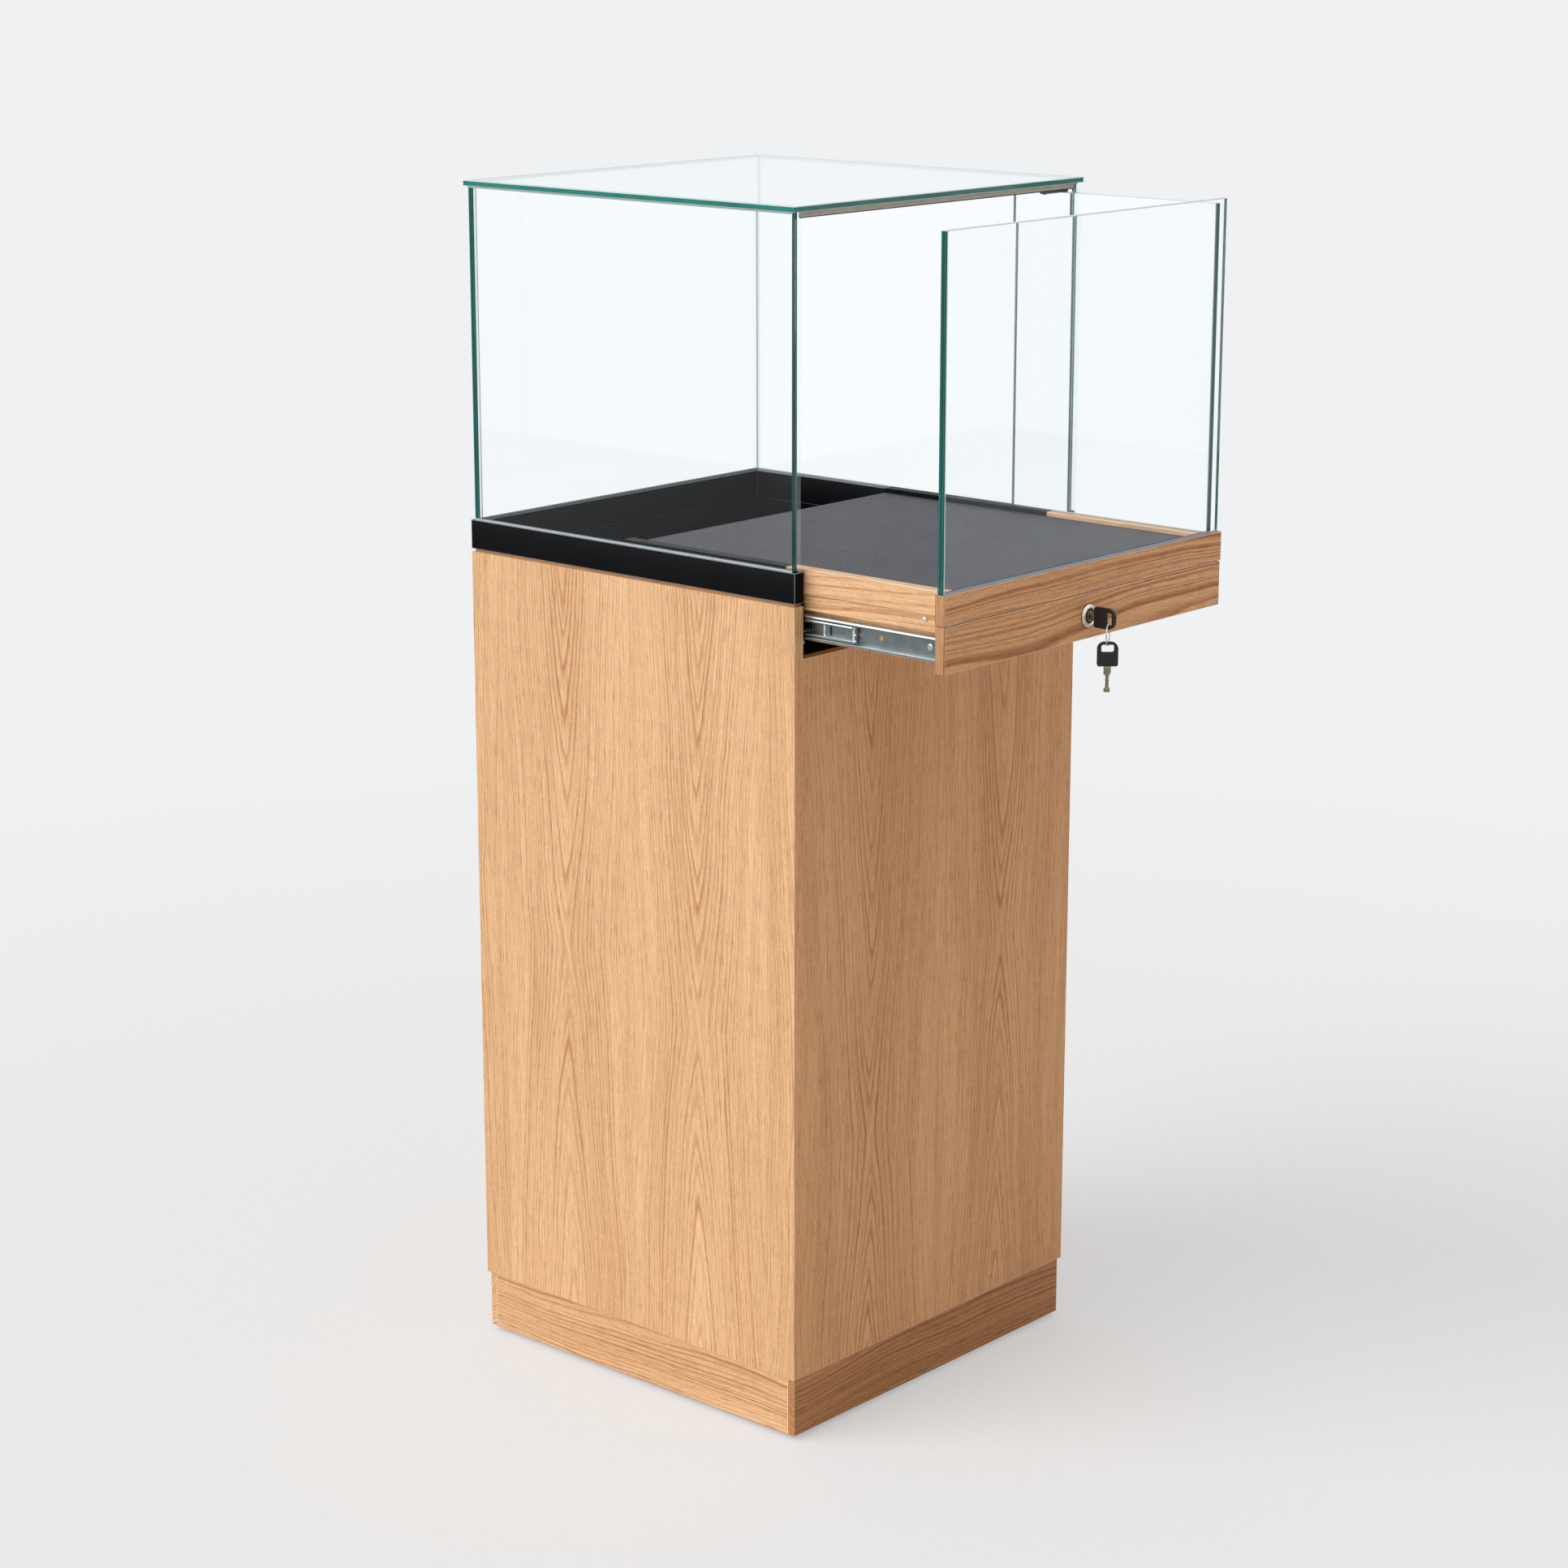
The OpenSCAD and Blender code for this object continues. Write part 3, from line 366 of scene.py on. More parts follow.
def brushed_metal(name, colour, stain, rough, along, stretch, metallic=1.0, flat=None):
    """Plated metal with draw lines along one axis and faint clouds of stain.

    Bright plating scatters light too, so it has a metallic share under 1. flat is an axis with the
    colour and stain of the faces square to it: painted shade, darker than the rolled edges.
    """
    g = Graph(name)
    if flat:
        axis, web_shade_colour, web_shade_stain = flat
        # Darker colour and stain on the faces square to the axis: painted shade
        square = g.span(g.facing(axis), 0.85, 0.98)
        colour = g.blend(square, colour, web_shade_colour)
        stain = g.blend(square, stain, web_shade_stain)
    fine = 1400.0
    scales = [fine, fine, fine]
    scales[along] = fine / stretch
    lines = g.noise(g.scaled(g.split(), *scales), detail=2.0)
    place = g.coordinates()
    cloud = g.noise(place, 60.0, 4.0, 0.62)
    spots = g.span(g.noise(place, 620.0, 3.0, 0.7), 0.60, 0.74)
    base = g.blend(g.span(cloud, 0.35, 0.72, 0.0, 0.55), colour, stain)
    base = g.blend(g.times(spots, 0.35), base, stain)
    roughness = g.span(lines, 0.3, 0.7, rough - 0.06, rough + 0.09)
    roughness = g.math("ADD", roughness, g.times(spots, 0.1))
    return g.finish(
        g.principled(
            Base_Color=base,
            Metallic=metallic,
            Roughness=roughness,
            Normal=g.bump(lines, 0.02 * MM, 0.5),
        )
    )


black_board = lacquer("black_board", (0.0014, 0.0018, 0.0020), 0.60, grain=500.0, relief=0.01 * MM,
                      wear=(0.004, 0.005, 0.005), shine=0.05)
black_frame = lacquer("black_frame", (0.0040, 0.0040, 0.0048), 0.46, wear=(0.011, 0.011, 0.013),
                      shine=0.05)
# Light grey for the frame's rounded arrises: a painted highlight on the black
frame_edge_highlight = lacquer("frame_edge_highlight", (0.190, 0.195, 0.205), 0.30, wear=(0.30, 0.30, 0.31))
bead_dark = lacquer("bead_dark", (0.055, 0.045, 0.038), 0.60, wear=(0.12, 0.10, 0.09), shine=0.2)
rubber = lacquer("rubber", (0.008, 0.009, 0.009), 0.60, grain=1500.0, relief=0.05 * MM,
                 wear=(0.03, 0.03, 0.03), shine=0.2)
bronze = lacquer("bronze", (0.045, 0.032, 0.024), 0.34, wear=(0.20, 0.14, 0.09))
taupe = lacquer("taupe", (0.120, 0.098, 0.076), 0.42, wear=(0.22, 0.19, 0.15))
key_plastic = lacquer("key_plastic", (0.010, 0.010, 0.011), 0.32, grain=1300.0, relief=0.04 * MM,
                      shine=0.4)
# Near black for the lock's throat and shadow line: painted shade
pit_shade = lacquer("pit_shade", (0.010, 0.009, 0.008), 0.5, shine=0.2)
# The faces square to X, the slides' webs, get darker colours: painted shade
zinc = brushed_metal("zinc", (0.74, 0.79, 0.80), (0.46, 0.50, 0.52), 0.34, Y, 40.0,
                     flat=(X, (0.25, 0.28, 0.275), (0.15, 0.17, 0.165)))
# Brighter zinc: the plating of the pan heads and small slide parts; on the tabs, bent from the slides' own
# zinc, it is a painted glint
bright_zinc_and_glint = brushed_metal("bright_zinc_and_glint", (0.86, 0.88, 0.89), (0.66, 0.69, 0.70), 0.30, Z, 6.0, 0.45)
steel = brushed_metal("steel", (0.80, 0.80, 0.79), (0.50, 0.49, 0.47), 0.24, Z, 8.0, 0.8)
nickel = brushed_metal("nickel", (0.88, 0.80, 0.66), (0.60, 0.50, 0.36), 0.26, Z, 3.0, 0.75)
brass = brushed_metal("brass", (0.44, 0.36, 0.24), (0.15, 0.115, 0.07), 0.26, Z, 12.0)


# ---- Glass ------------------------------------

# Dark and light colour of an edge, and how the light one lies from its middle to its rims; the light one is
# painted internal reflection
TEAL = ((0.001, 0.046, 0.038), (0.010, 0.190, 0.152))
TEAL_TOP = ((0.001, 0.050, 0.042), (0.006, 0.270, 0.210))
PALE_EDGE = ((0.46, 0.56, 0.56), (0.74, 0.82, 0.82))
SMOKE_EDGE = ((0.075, 0.150, 0.145), (0.24, 0.36, 0.35))
GROUND_BAND = ((0.0, 0.25), (0.22, 0.10), (0.50, 1.0), (0.72, 0.55), (0.84, 0.0), (1.0, 0.9))
POLISHED_BAND = ((0.0, 1.0), (0.55, 0.85), (0.80, 0.05), (1.0, 0.30))

GLASS_SHINE = (0.22, 0.22, 0.22)        # low: the photo's panes hardly mirror anything
EDGE_COVER, BONDED_COVER = 0.92, 0.14   # how much of an edge is its colour, and not clear
# Colour and share of the bright line on the front pane: a painted highlight
PAINTED_ARRIS_GLINT, ARRIS_GLINT_COVER = (0.90, 0.95, 0.96), 0.80
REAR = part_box("glass_back")[LOW].y - 1.0 * MM       # the rear corners' bonds start here


def glass(name, plane, edge=TEAL, top_edge=PALE_EDGE, stops=GROUND_BAND, bonded=None, arris=0.0):
    """Float glass: clear faces, and edges with lighter bands along them, which are painted internal
    reflections.

    name is the pane's node too, and plane the axis that it faces. edge and top_edge are the
    colours of the upright and of the level edges. Where the pane runs into a bonded corner,
    beyond REAR on the axis bonded, its edges nearly vanish, as the bond has the glass's own
    clearness. arris is the width of a painted highlight on the faces: a bright line along the
    end towards -X that stands for the ground edge seen through the glass. Light passes straight
    through to what is behind it.
    """
    low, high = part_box(name)
    half = (high[plane] - low[plane]) / 2
    g = Graph(name)
    place = g.split()
    coordinates = g.coordinates()
    smear = g.noise(coordinates, 3.0, 4.0, 0.6)
    body = g.principled(
        Base_Color=(0.984, 0.996, 1.0),
        Roughness=g.span(smear, 0.45, 0.8, 0.0, 0.02),
        Transmission_Weight=1.0,
        IOR=1.5,
        Specular_Tint=GLASS_SHINE,
    )
    straight = g.clear((0.94, 0.965, 0.965))
    if bonded is not None:
        in_bond = g.math("GREATER_THAN", place[bonded], REAR)
        body = g.mix_shaders(in_bond, body, straight)
    face = g.mix_shaders(g.ray("Shadow", "Diffuse"), body, straight)
    if arris:
        # A bright line on the faces near the end towards -X: painted highlight
        on_line = g.math("LESS_THAN", place[X], low.x + arris)
        bright = g.principled(Base_Color=PAINTED_ARRIS_GLINT, Roughness=0.2)
        face = g.mix_shaders(g.times(on_line, ARRIS_GLINT_COVER), face, bright)

    off_middle = g.math("ABSOLUTE", g.math("SUBTRACT", place[plane], low[plane] + half))
    ground = g.noise(coordinates, 260.0, 3.0, 0.6)
    streaks = g.noise(coordinates, 22.0, 3.0, 0.6)
    # Where the edge's light colour shows: painted internal reflections along the edge
    reflection_band = g.ramp(g.math("DIVIDE", off_middle, half), *stops)
    reflection_band = g.times(reflection_band, g.span(streaks, 0.25, 0.75, 0.55, 1.0))
    level = g.math("GREATER_THAN", g.facing(Z), 0.6)
    cover = EDGE_COVER
    if bonded is not None:
        level = g.math("MAXIMUM", level, in_bond)
        cover = g.span(in_bond, 0.0, 1.0, EDGE_COVER, BONDED_COVER)
    dark = g.blend(level, edge[0], top_edge[0])
    light = g.blend(level, edge[1], top_edge[1])
    rim = g.principled(
        Base_Color=g.blend(reflection_band, dark, light),
        Roughness=g.span(ground, 0.3, 0.7, 0.12, 0.28),
        Specular_IOR_Level=0.5,
        Normal=g.bump(ground, 0.03 * MM, 0.4),
    )
    rim = g.mix_shaders(cover, body, rim)
    return g.finish(g.mix_shaders(g.math("LESS_THAN", g.facing(plane), 0.9), face, rim))


PANE_LOOKS = {
    "glass_left": dict(plane=X, bonded=Y),
    "glass_right": dict(plane=X, bonded=Y, edge=SMOKE_EDGE),
    "glass_back": dict(plane=Y, bonded=X),
    "glass_top": dict(plane=Z, edge=TEAL_TOP, stops=POLISHED_BAND),
    "front_pane": dict(plane=Y, arris=2.3 * MM),
    "return_pane": dict(plane=X, edge=SMOKE_EDGE),
}
PANES = {node: glass(node, **look) for node, look in PANE_LOOKS.items()}


# ---- Plastic, sealant, cover and brush --------


def clear_plastic(name, tint=(0.93, 0.97, 1.0), veil=0.04):
    """Clear extruded plastic, seen by its thin haze and its gloss."""
    g = Graph(name)
    haze = g.noise(g.scaled(g.split(), 90.0, 90.0, 9.0), detail=3.0)
    gloss = g.principled(
        Base_Color=tint, Roughness=g.span(haze, 0.3, 0.7, 0.12, 0.26), Specular_IOR_Level=0.4
    )
    share = g.span(haze, 0.2, 0.8, veil * 0.5, veil * 1.5)
    return g.finish(g.mix_shaders(share, g.clear((0.96, 0.985, 0.99)), gloss))


def sealant(name, colour, rough=0.3):
    """A smooth bead with slight waves and dust along it."""
    g = Graph(name)
    place = g.coordinates()
    waves = g.noise(place, 120.0, 3.0)
    dust = g.span(g.noise(place, 900.0, 2.0), 0.60, 0.75)
    dull = tuple(0.72 * part for part in colour)
    base = g.blend(g.span(waves, 0.3, 0.7, 0.0, 0.35), colour, dull)
    base = g.blend(g.times(dust, 0.4), base, dull)
    return g.finish(g.principled(Base_Color=base, Roughness=rough, Normal=g.bump(waves, 0.06 * MM, 0.5)))


def leatherette(name):
    """Fine grained charcoal cover: small rounded cells, each a little different in tone, with painted shade
    in the valleys between them.
    """
    g = Graph(name)
    coordinates = g.coordinates()
    bend = g.noise(coordinates, 300.0, 2.0)
    bent = g.vector(*(g.math("MULTIPLY_ADD", bend, 0.9 * MM, p) for p in g.split()))
    valley = g.span(g.cells(bent, 620.0), 0.35, 0.85)
    fine = g.noise(coordinates, 2600.0, 2.0)
    cloud = g.noise(coordinates, 16.0, 4.0, 0.6)
    speckle = g.noise(coordinates, 420.0, 2.0)
    base = g.blend(g.span(speckle, 0.3, 0.7), (0.038, 0.036, 0.045), (0.066, 0.064, 0.077))
    # Darker colour in the grain's valleys: painted shade
    base = g.blend(g.times(valley, 0.5), base, (0.022, 0.021, 0.027))
    base = g.blend(g.span(cloud, 0.35, 0.7, 0.0, 0.30), base, (0.080, 0.076, 0.092))
    height = g.math("ADD", g.times(valley, -1.0), g.times(fine, 0.25))
    return g.finish(
        g.principled(
            Base_Color=base,
            Roughness=g.span(valley, 0.0, 1.0, 0.52, 0.72),
            Specular_IOR_Level=0.28,
            Normal=g.bump(height, 0.18 * MM, 0.8),
        )
    )


def pile(name, along, pale=(0.760, 0.670, 0.560), deep=(0.430, 0.360, 0.285)):
    """Short brush pile, with fine lines along one axis."""
    g = Graph(name)
    scales = [2400.0, 2400.0, 2400.0]
    scales[along] = 60.0
    lines = g.noise(g.scaled(g.split(), *scales), detail=2.0)
    tufts = g.noise(g.coordinates(), 900.0, 2.0)
    base = g.blend(g.span(lines, 0.3, 0.7), deep, pale)
    base = g.blend(g.span(tufts, 0.55, 0.75, 0.0, 0.5), base, deep)
    return g.finish(
        g.principled(
            Base_Color=base, Roughness=0.85, Sheen_Weight=0.25, Normal=g.bump(lines, 0.2 * MM, 0.8)
        )
    )


clear = clear_plastic("clear")
deck_cover = leatherette("cover")
pile_x = pile("pile_x", X)
foot_seal = sealant("foot_seal", (0.44, 0.49, 0.56))
inner_seal = sealant("inner_seal", (0.155, 0.180, 0.185), 0.4)
bond = sealant("bond", (0.50, 0.58, 0.58), 0.22)


# ---- Materials of the CAD nodes ---------------

SURFACES = (
    (black_board, "base_board", "well_floor", "well_liner"),
    (birch, "glue_blocks", "bottom_panel", "drawer_front_rail", "deck_board"),
    (oak_neck, "neck_strips"),
    (black_frame, "frame_left", "frame_right", "frame_back", "frame_end_caps"),
    (rubber, "glazing_gasket", "front_pane_gasket"),
    (clear, "edge_fins"),
    (pile_x, "brush_seal"),
    (bronze, "pane_guide"),
    (zinc, "slide_outer_left", "slide_outer_right", "slide_mid_left", "slide_mid_right"),
    (zinc, "slide_inner_left", "slide_inner_right", "outer_ball_cages", "inner_ball_cages"),
    (zinc, "lock_cam"),
    (steel, "case_slide_screws", "drawer_slide_screws", "drawer_side_screws", "lock_nut", "key_ring"),
    (deck_cover, "deck_panel"),
    (nickel, "lock_barrel"),
    (brass, "lock_plug", "key_blade", "spare_key_blade"),
    (key_plastic, "key_bow", "spare_key_bow"),
    *((material, node) for node, material in OAK_BOARDS.items()),
    *((OAK_BOARDS[twin], node) for node, twin in OAK_TWINS.items()),
    *((material, node) for node, material in PANES.items()),
)
for material, *names in SURFACES:
    for name in names:
        slots = nodes[name].data.materials
        slots.clear()
        slots.append(material)


# ---- Softened edges ---------------------------

SAME_POINT = 0.01 * MM                  # points as near as this are one
SHARP = math.radians(40.0)              # edges that turn more than this are rounded


def round_edges(name, width, segments=2, edge_material=None):
    """Rounds a CAD node's edges without changing its own mesh."""
    weld = nodes[name].modifiers.new("weld", "WELD")
    weld.merge_threshold = SAME_POINT
    bevel = nodes[name].modifiers.new("bevel", "BEVEL")
    bevel.width = width
    bevel.segments = segments
    bevel.limit_method = "ANGLE"
    bevel.angle_limit = SHARP
    bevel.use_clamp_overlap = True
    if edge_material:
        nodes[name].data.materials.append(edge_material)
        bevel.material = 1


# The bevels of the oak boards take the paler arris colour, a painted highlight
for name in (*OAK_BOARDS, "plinth_right", "drawer_side_right", "deck_rail_right"):
    round_edges(name, 0.7 * MM, edge_material=oak_edge_highlight)
for name in ("key_bow", "spare_key_bow"):
    round_edges(name, 0.9 * MM, 3)
round_edges("lock_barrel", 0.25 * MM)
round_edges("pane_guide", 0.5 * MM)


# ---- Making pieces ----------------------------


def add_piece(name, form, material, body, replaces=(), smooth_under=38.0):
    """Makes a form into a piece that rides a body, and stands in for the nodes it replaces."""
    bmesh.ops.recalc_face_normals(form, faces=form.faces)
    mesh = bpy.data.meshes.new(name)
    form.to_mesh(mesh)
    form.free()
    mesh.shade_smooth()
    mesh.set_sharp_from_angle(angle=math.radians(smooth_under))
    mesh.materials.append(material)
    obj = bpy.data.objects.new(name, mesh)
    bpy.context.scene.collection.objects.link(obj)
    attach(obj, body)
    if replaces:
        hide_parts(*replaces)
    return obj


def skin(form, sections, closed=False):
    """Joins rings of points into a skin. The ends are capped unless it closes on itself."""
    rings = [[form.verts.new(point) for point in section] for section in sections]
    pairs = list(zip(rings, rings[1:])) + ([(rings[-1], rings[0])] if closed else [])
    for a, b in pairs:
        for i in range(len(a)):
            j = (i + 1) % len(a)
            form.faces.new((a[i], a[j], b[j], b[i]))
    if not closed:
        form.faces.new(rings[0][::-1])
        form.faces.new(rings[-1])


def circle_points(radius, count, start=0.0):
    turns = (start + math.tau * i / count for i in range(count))
    return [(radius * math.cos(turn), radius * math.sin(turn)) for turn in turns]


def tube(form, points, radius, sides=10):
    """A round wire along a list of points, which do not run back on themselves."""
    points = [Vector(p) for p in points]
    sections = []
    side = None
    for i, point in enumerate(points):
        ahead = (points[min(i + 1, len(points) - 1)] - points[max(i - 1, 0)]).normalized()
        if side is None:
            side = ahead.orthogonal().normalized()
        side = (side - ahead * side.dot(ahead)).normalized()
        other = ahead.cross(side)
        sections.append([point + side * a + other * b for a, b in circle_points(radius, sides)])
    skin(form, sections)


def extrusion(form, outline, start, end, bevel=0.0):
    """An outline of (a, b) points drawn out from start(a, b) to end(a, b), with broken edges."""
    before = set(form.edges)
    skin(form, [[start(a, b) for a, b in outline], [end(a, b) for a, b in outline]])
    if bevel:
        new = [edge for edge in form.edges if edge not in before]
        bmesh.ops.recalc_face_normals(form, faces=form.faces)
        sharp = [edge for edge in new if edge.calc_face_angle(0.0) > SHARP]
        bmesh.ops.bevel(form, geom=sharp, offset=bevel, segments=2, profile=0.5, affect="EDGES")


def run_x(x0, x1):
    """Start and end of an extrusion along X, whose outline lies in Y and Z."""
    return (lambda a, b: Vector((x0, a, b))), (lambda a, b: Vector((x1, a, b)))


def run_y(y0, y1):
    return (lambda a, b: Vector((a, y0, b))), (lambda a, b: Vector((a, y1, b)))


def run_z(z0, z1):
    return (lambda a, b: Vector((a, b, z0))), (lambda a, b: Vector((a, b, z1)))


SIDES = {"left": -1, "right": 1}


def mirrored(point, side):
    """A point of the left-hand side (side -1), or its twin on the right (side 1)."""
    return Vector((-side * point[0], point[1], point[2]))


# ---- Black frame ------------------------------

cap_low, cap_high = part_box("frame_end_caps")
FRAME_TOP = cap_high.z
MITRE = cap_high.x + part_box("frame_back")[HIGH].y   # X + Y along the mitred rear corners
SEAM_REACH = 0.05 * MM


def on_cap_seam(place):
    return abs(place.y - cap_high.y) < SEAM_REACH


def on_mitre(place):
    return abs(abs(place.x) + abs(place.y) - MITRE) < SEAM_REACH


def softened_frame(name, at_seam):
    """Stands in for a piece of the black frame: its edges are rounded, save at its seam, and the rounded
    faces carry a painted highlight.
    """
    form = bmesh.new()
    form.from_mesh(nodes[name].data)
    bmesh.ops.remove_doubles(form, verts=form.verts, dist=SAME_POINT)
    bmesh.ops.dissolve_limit(form, angle_limit=math.radians(1.0), verts=form.verts, edges=form.edges)
    edges = [
        edge
        for edge in form.edges
        if edge.calc_face_angle(0.0) > SHARP and not all(at_seam(vertex.co) for vertex in edge.verts)
    ]
    done = bmesh.ops.bevel(form, geom=edges, offset=0.6 * MM, segments=2, profile=0.5, affect="EDGES",
                           clamp_overlap=True)
    # The bevels' faces take the second material, the painted highlight
    for face in done["faces"]:
        face.material_index = 1
    piece = add_piece(name + "_coated", form, black_frame, "pedestal", (name,))
    piece.data.materials.append(frame_edge_highlight)


for name in ("frame_left", "frame_right", "frame_end_caps"):
    softened_frame(name, on_cap_seam)
softened_frame("frame_back", on_mitre)


# ---- Screw heads ------------------------------

SLIDE_METAL = 1.1 * MM
WEB_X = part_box("slide_inner_left")[HIGH].x - SLIDE_METAL    # face of the drawer member's web
SLIDE_Z = middle_of("slide_inner_left").z
FIRST_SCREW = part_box("drawer_slide_screws")[LOW].y + 3.45 * MM


def screw_head(form, centre, out, radius, height):
    """A domed head with a cross cut into it, seated on the face at centre."""
    centre, out = Vector(centre), Vector(out)
    side = out.orthogonal().normalized()
    other = out.cross(side)
    steps, turns, start = 12, 56, 0.3
    fall = 0.92                         # at 1.0 the dome's rim would come down to the face
    cross_reach, cross_width, cross_depth = 0.64 * radius, 0.15 * radius, 0.75 * height
    sunk = out * 0.2 * MM
    sections = [[centre + side * a + other * b - sunk for a, b in circle_points(radius, turns, start)]]
    for i in range(steps, -1, -1):
        r = radius * max(i, 0.35) / steps
        ring = []
        for a, b in circle_points(r, turns, start):
            level = height * math.sqrt(max(0.0, 1.0 - fall * (r / radius) ** 2))
            if r < cross_reach and min(abs(a), abs(b)) < cross_width:
                level -= cross_depth
            ring.append(centre + side * a + other * b + out * level)
        sections.append(ring)
    skin(form, sections)


form = bmesh.new()
for side in SIDES.values():
    for step in (0.0, 200.0 * MM, 390.0 * MM):
        at = mirrored((WEB_X + 0.15 * MM, FIRST_SCREW + step, SLIDE_Z), side)
        screw_head(form, at, (side, 0, 0), 3.4 * MM, 0.5 * MM)
add_piece("slide_screw_faces", form, steel, "drawer")

form = bmesh.new()
pan_at = middle_of("drawer_side_screws")
pan_at.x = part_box("drawer_side_left")[LOW].x
for side in SIDES.values():
    screw_head(form, mirrored(pan_at, side), (side, 0, 0), 3.1 * MM, 2.4 * MM)
add_piece("pan_heads", form, bright_zinc_and_glint, "drawer", ("drawer_side_screws",))


# ---- Slide details ----------------------------

mid_low, mid_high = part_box("slide_mid_left")
MID_X = mid_high.x - SLIDE_METAL        # face of the middle member's web

# Outline of the bent tab, and the spring catch's wire from its start under the case member's
# front end, in mm
TAB = ((-2.2, -8.0), (0.4, -8.0), (1.0, -7.2), (1.0, 7.2), (0.4, 8.0), (-2.2, 8.0), (-0.9, 5.0),
       (-1.3, 0.0), (-0.9, -5.0))
CATCH = ((0.0, 0.0, 0.0), (-1.0, -2.5, -0.8), (-1.5, -5.0, -2.4), (-1.5, -5.6, -4.4),
         (-1.3, -4.2, -5.8), (-0.9, -2.2, -6.0), (-0.5, -1.0, -4.8), (-0.1, -0.4, -2.8))
CATCH_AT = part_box("slide_outer_left")[LOW] + Vector((2.5, 3.0, -6.85)) * MM


def strip_outline(width, height, notches, depth):
    """Outline of an upright strip with notches down both long edges, as moulded ones have."""
    def edge(side, order):
        points = []
        for k in order:
            z = -height / 2 + height * (k + 0.5) / notches
            reach = height / notches * 0.3 * order.step
            dip = depth * (0.55 + 0.45 * math.sin(2.1 * k + side))
            points += [(side * width / 2, z - reach), (side * (width / 2 - dip), z),
                       (side * width / 2, z + reach)]
        return points
    return edge(1, range(0, notches, 1)) + edge(-1, range(notches - 1, -1, -1))


def on_web(along, height, side):
    """Start and end of an extrusion that stands on the middle member's web, that high."""
    def at(x):
        return lambda a, b: mirrored((x, mid_low.y + along + a, SLIDE_Z + b), side)
    return at(MID_X + 0.2 * MM), at(MID_X - height)


for label, side in SIDES.items():
    form = bmesh.new()
    extrusion(form, strip_outline(5.4 * MM, 17.5 * MM, 5, 1.1 * MM),
              *on_web(4.0 * MM, 0.75 * MM, side), bevel=0.15 * MM)
    add_piece(f"slide_stop_{label}", form, bright_zinc_and_glint, f"slide_mid_{label}")
    form = bmesh.new()
    # The tab is the slide's own zinc, made brighter: a painted glint
    extrusion(form, [(a * MM, b * MM) for a, b in TAB], *on_web(46.5 * MM, 0.8 * MM, side),
              bevel=0.2 * MM)
    add_piece(f"slide_tab_{label}", form, bright_zinc_and_glint, f"slide_mid_{label}")

for label, side in SIDES.items():
    form = bmesh.new()
    tube(form, [mirrored(CATCH_AT + Vector(p) * MM, side) for p in CATCH], 0.55 * MM, 8)
    add_piece(f"slide_catch_{label}", form, bright_zinc_and_glint, "pedestal")


# ---- Seals and bonds of the glass -------------

pane_low, pane_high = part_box("glass_left")
back_low, back_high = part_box("glass_back")
GLASS_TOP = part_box("glass_top")[LOW].z  # underside of the top pane
GASKET_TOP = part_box("glazing_gasket")[HIGH].z

# Width and height of the beads outside and inside the foot of the glass, and under the top
FOOT_BEAD = (0.45 * MM, 2.6 * MM)
INNER_BEAD = (1.2 * MM, 2.8 * MM)
TOP_BEAD = (1.3 * MM, -2.4 * MM)
BEAD_LAP = 0.2 * MM                     # how far a bead reaches into its pane


def bead(a, b, out, width, height, points=6):
    """Section of a bead of sealant: it stands on (a, b), leans on the pane, and bulges out."""
    curve = []
    for i in range(points + 1):
        turn = math.pi / 2 * i / points
        curve.append((a + out * width * math.cos(turn), b + height * math.sin(turn)))
    return [(a - out * BEAD_LAP, b)] + curve + [(a - out * BEAD_LAP, b + height)]


form = bmesh.new()
for side in SIDES.values():
    extrusion(form, bead(side * -pane_low.x, GASKET_TOP, side, *FOOT_BEAD),
              *run_y(pane_low.y + 0.3 * MM, back_high.y))
extrusion(form, bead(back_high.y, GASKET_TOP, 1, *FOOT_BEAD), *run_x(back_low.x, back_high.x))
add_piece("glass_foot_seals", form, foot_seal, "pedestal")

form = bmesh.new()
for side in SIDES.values():
    extrusion(form, bead(side * -pane_high.x, GASKET_TOP, -side, *INNER_BEAD),
              *run_y(pane_low.y + 0.3 * MM, back_low.y))
extrusion(form, bead(back_low.y, GASKET_TOP, -1, *INNER_BEAD), *run_x(pane_high.x, -pane_high.x))
add_piece("inner_foot_seals", form, inner_seal, "pedestal")

form = bmesh.new()
for side in SIDES.values():
    extrusion(form, bead(side * -pane_low.x, GLASS_TOP, side, *TOP_BEAD), *run_y(pane_low.y, back_high.y))
    corner = [(side * (back_high.x - x), back_low.y + y)
              for x, y in ((8.0 * MM, -1.0 * MM), (9.0 * MM, BEAD_LAP), (7.8 * MM, BEAD_LAP))]
    extrusion(form, corner, *run_z(FRAME_TOP, GLASS_TOP - 0.5 * MM))
extrusion(form, bead(back_high.y, GLASS_TOP, 1, *TOP_BEAD), *run_x(back_low.x, back_high.x))
add_piece("glass_bonds", form, bond, "pedestal")

front_low, front_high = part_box("front_pane")
return_low, return_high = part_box("return_pane")
seal_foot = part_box("front_pane_gasket")[HIGH].z - 0.2 * MM
form = bmesh.new()
for y, out, end in ((front_low.y, -1, front_high.x - 0.5 * MM), (front_high.y, 1, return_low.x)):
    extrusion(form, bead(y, seal_foot, out, *FOOT_BEAD), *run_x(front_low.x + 0.5 * MM, end))
add_piece("front_foot_seals", form, foot_seal, "drawer")

# Oak edging on the left-hand ends of the drawer front, over the end of the pane's groove
form = bmesh.new()
for board in ("fascia_upper", "fascia_lower"):
    low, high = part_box(board)
    outline = [(low.y, low.z), (high.y, low.z), (high.y, high.z), (low.y, high.z)]
    extrusion(form, outline, *run_x(low.x + 0.1 * MM, front_low.x - 0.3 * MM), bevel=0.5 * MM)
add_piece("fascia_edging", form, oak_end, "drawer")

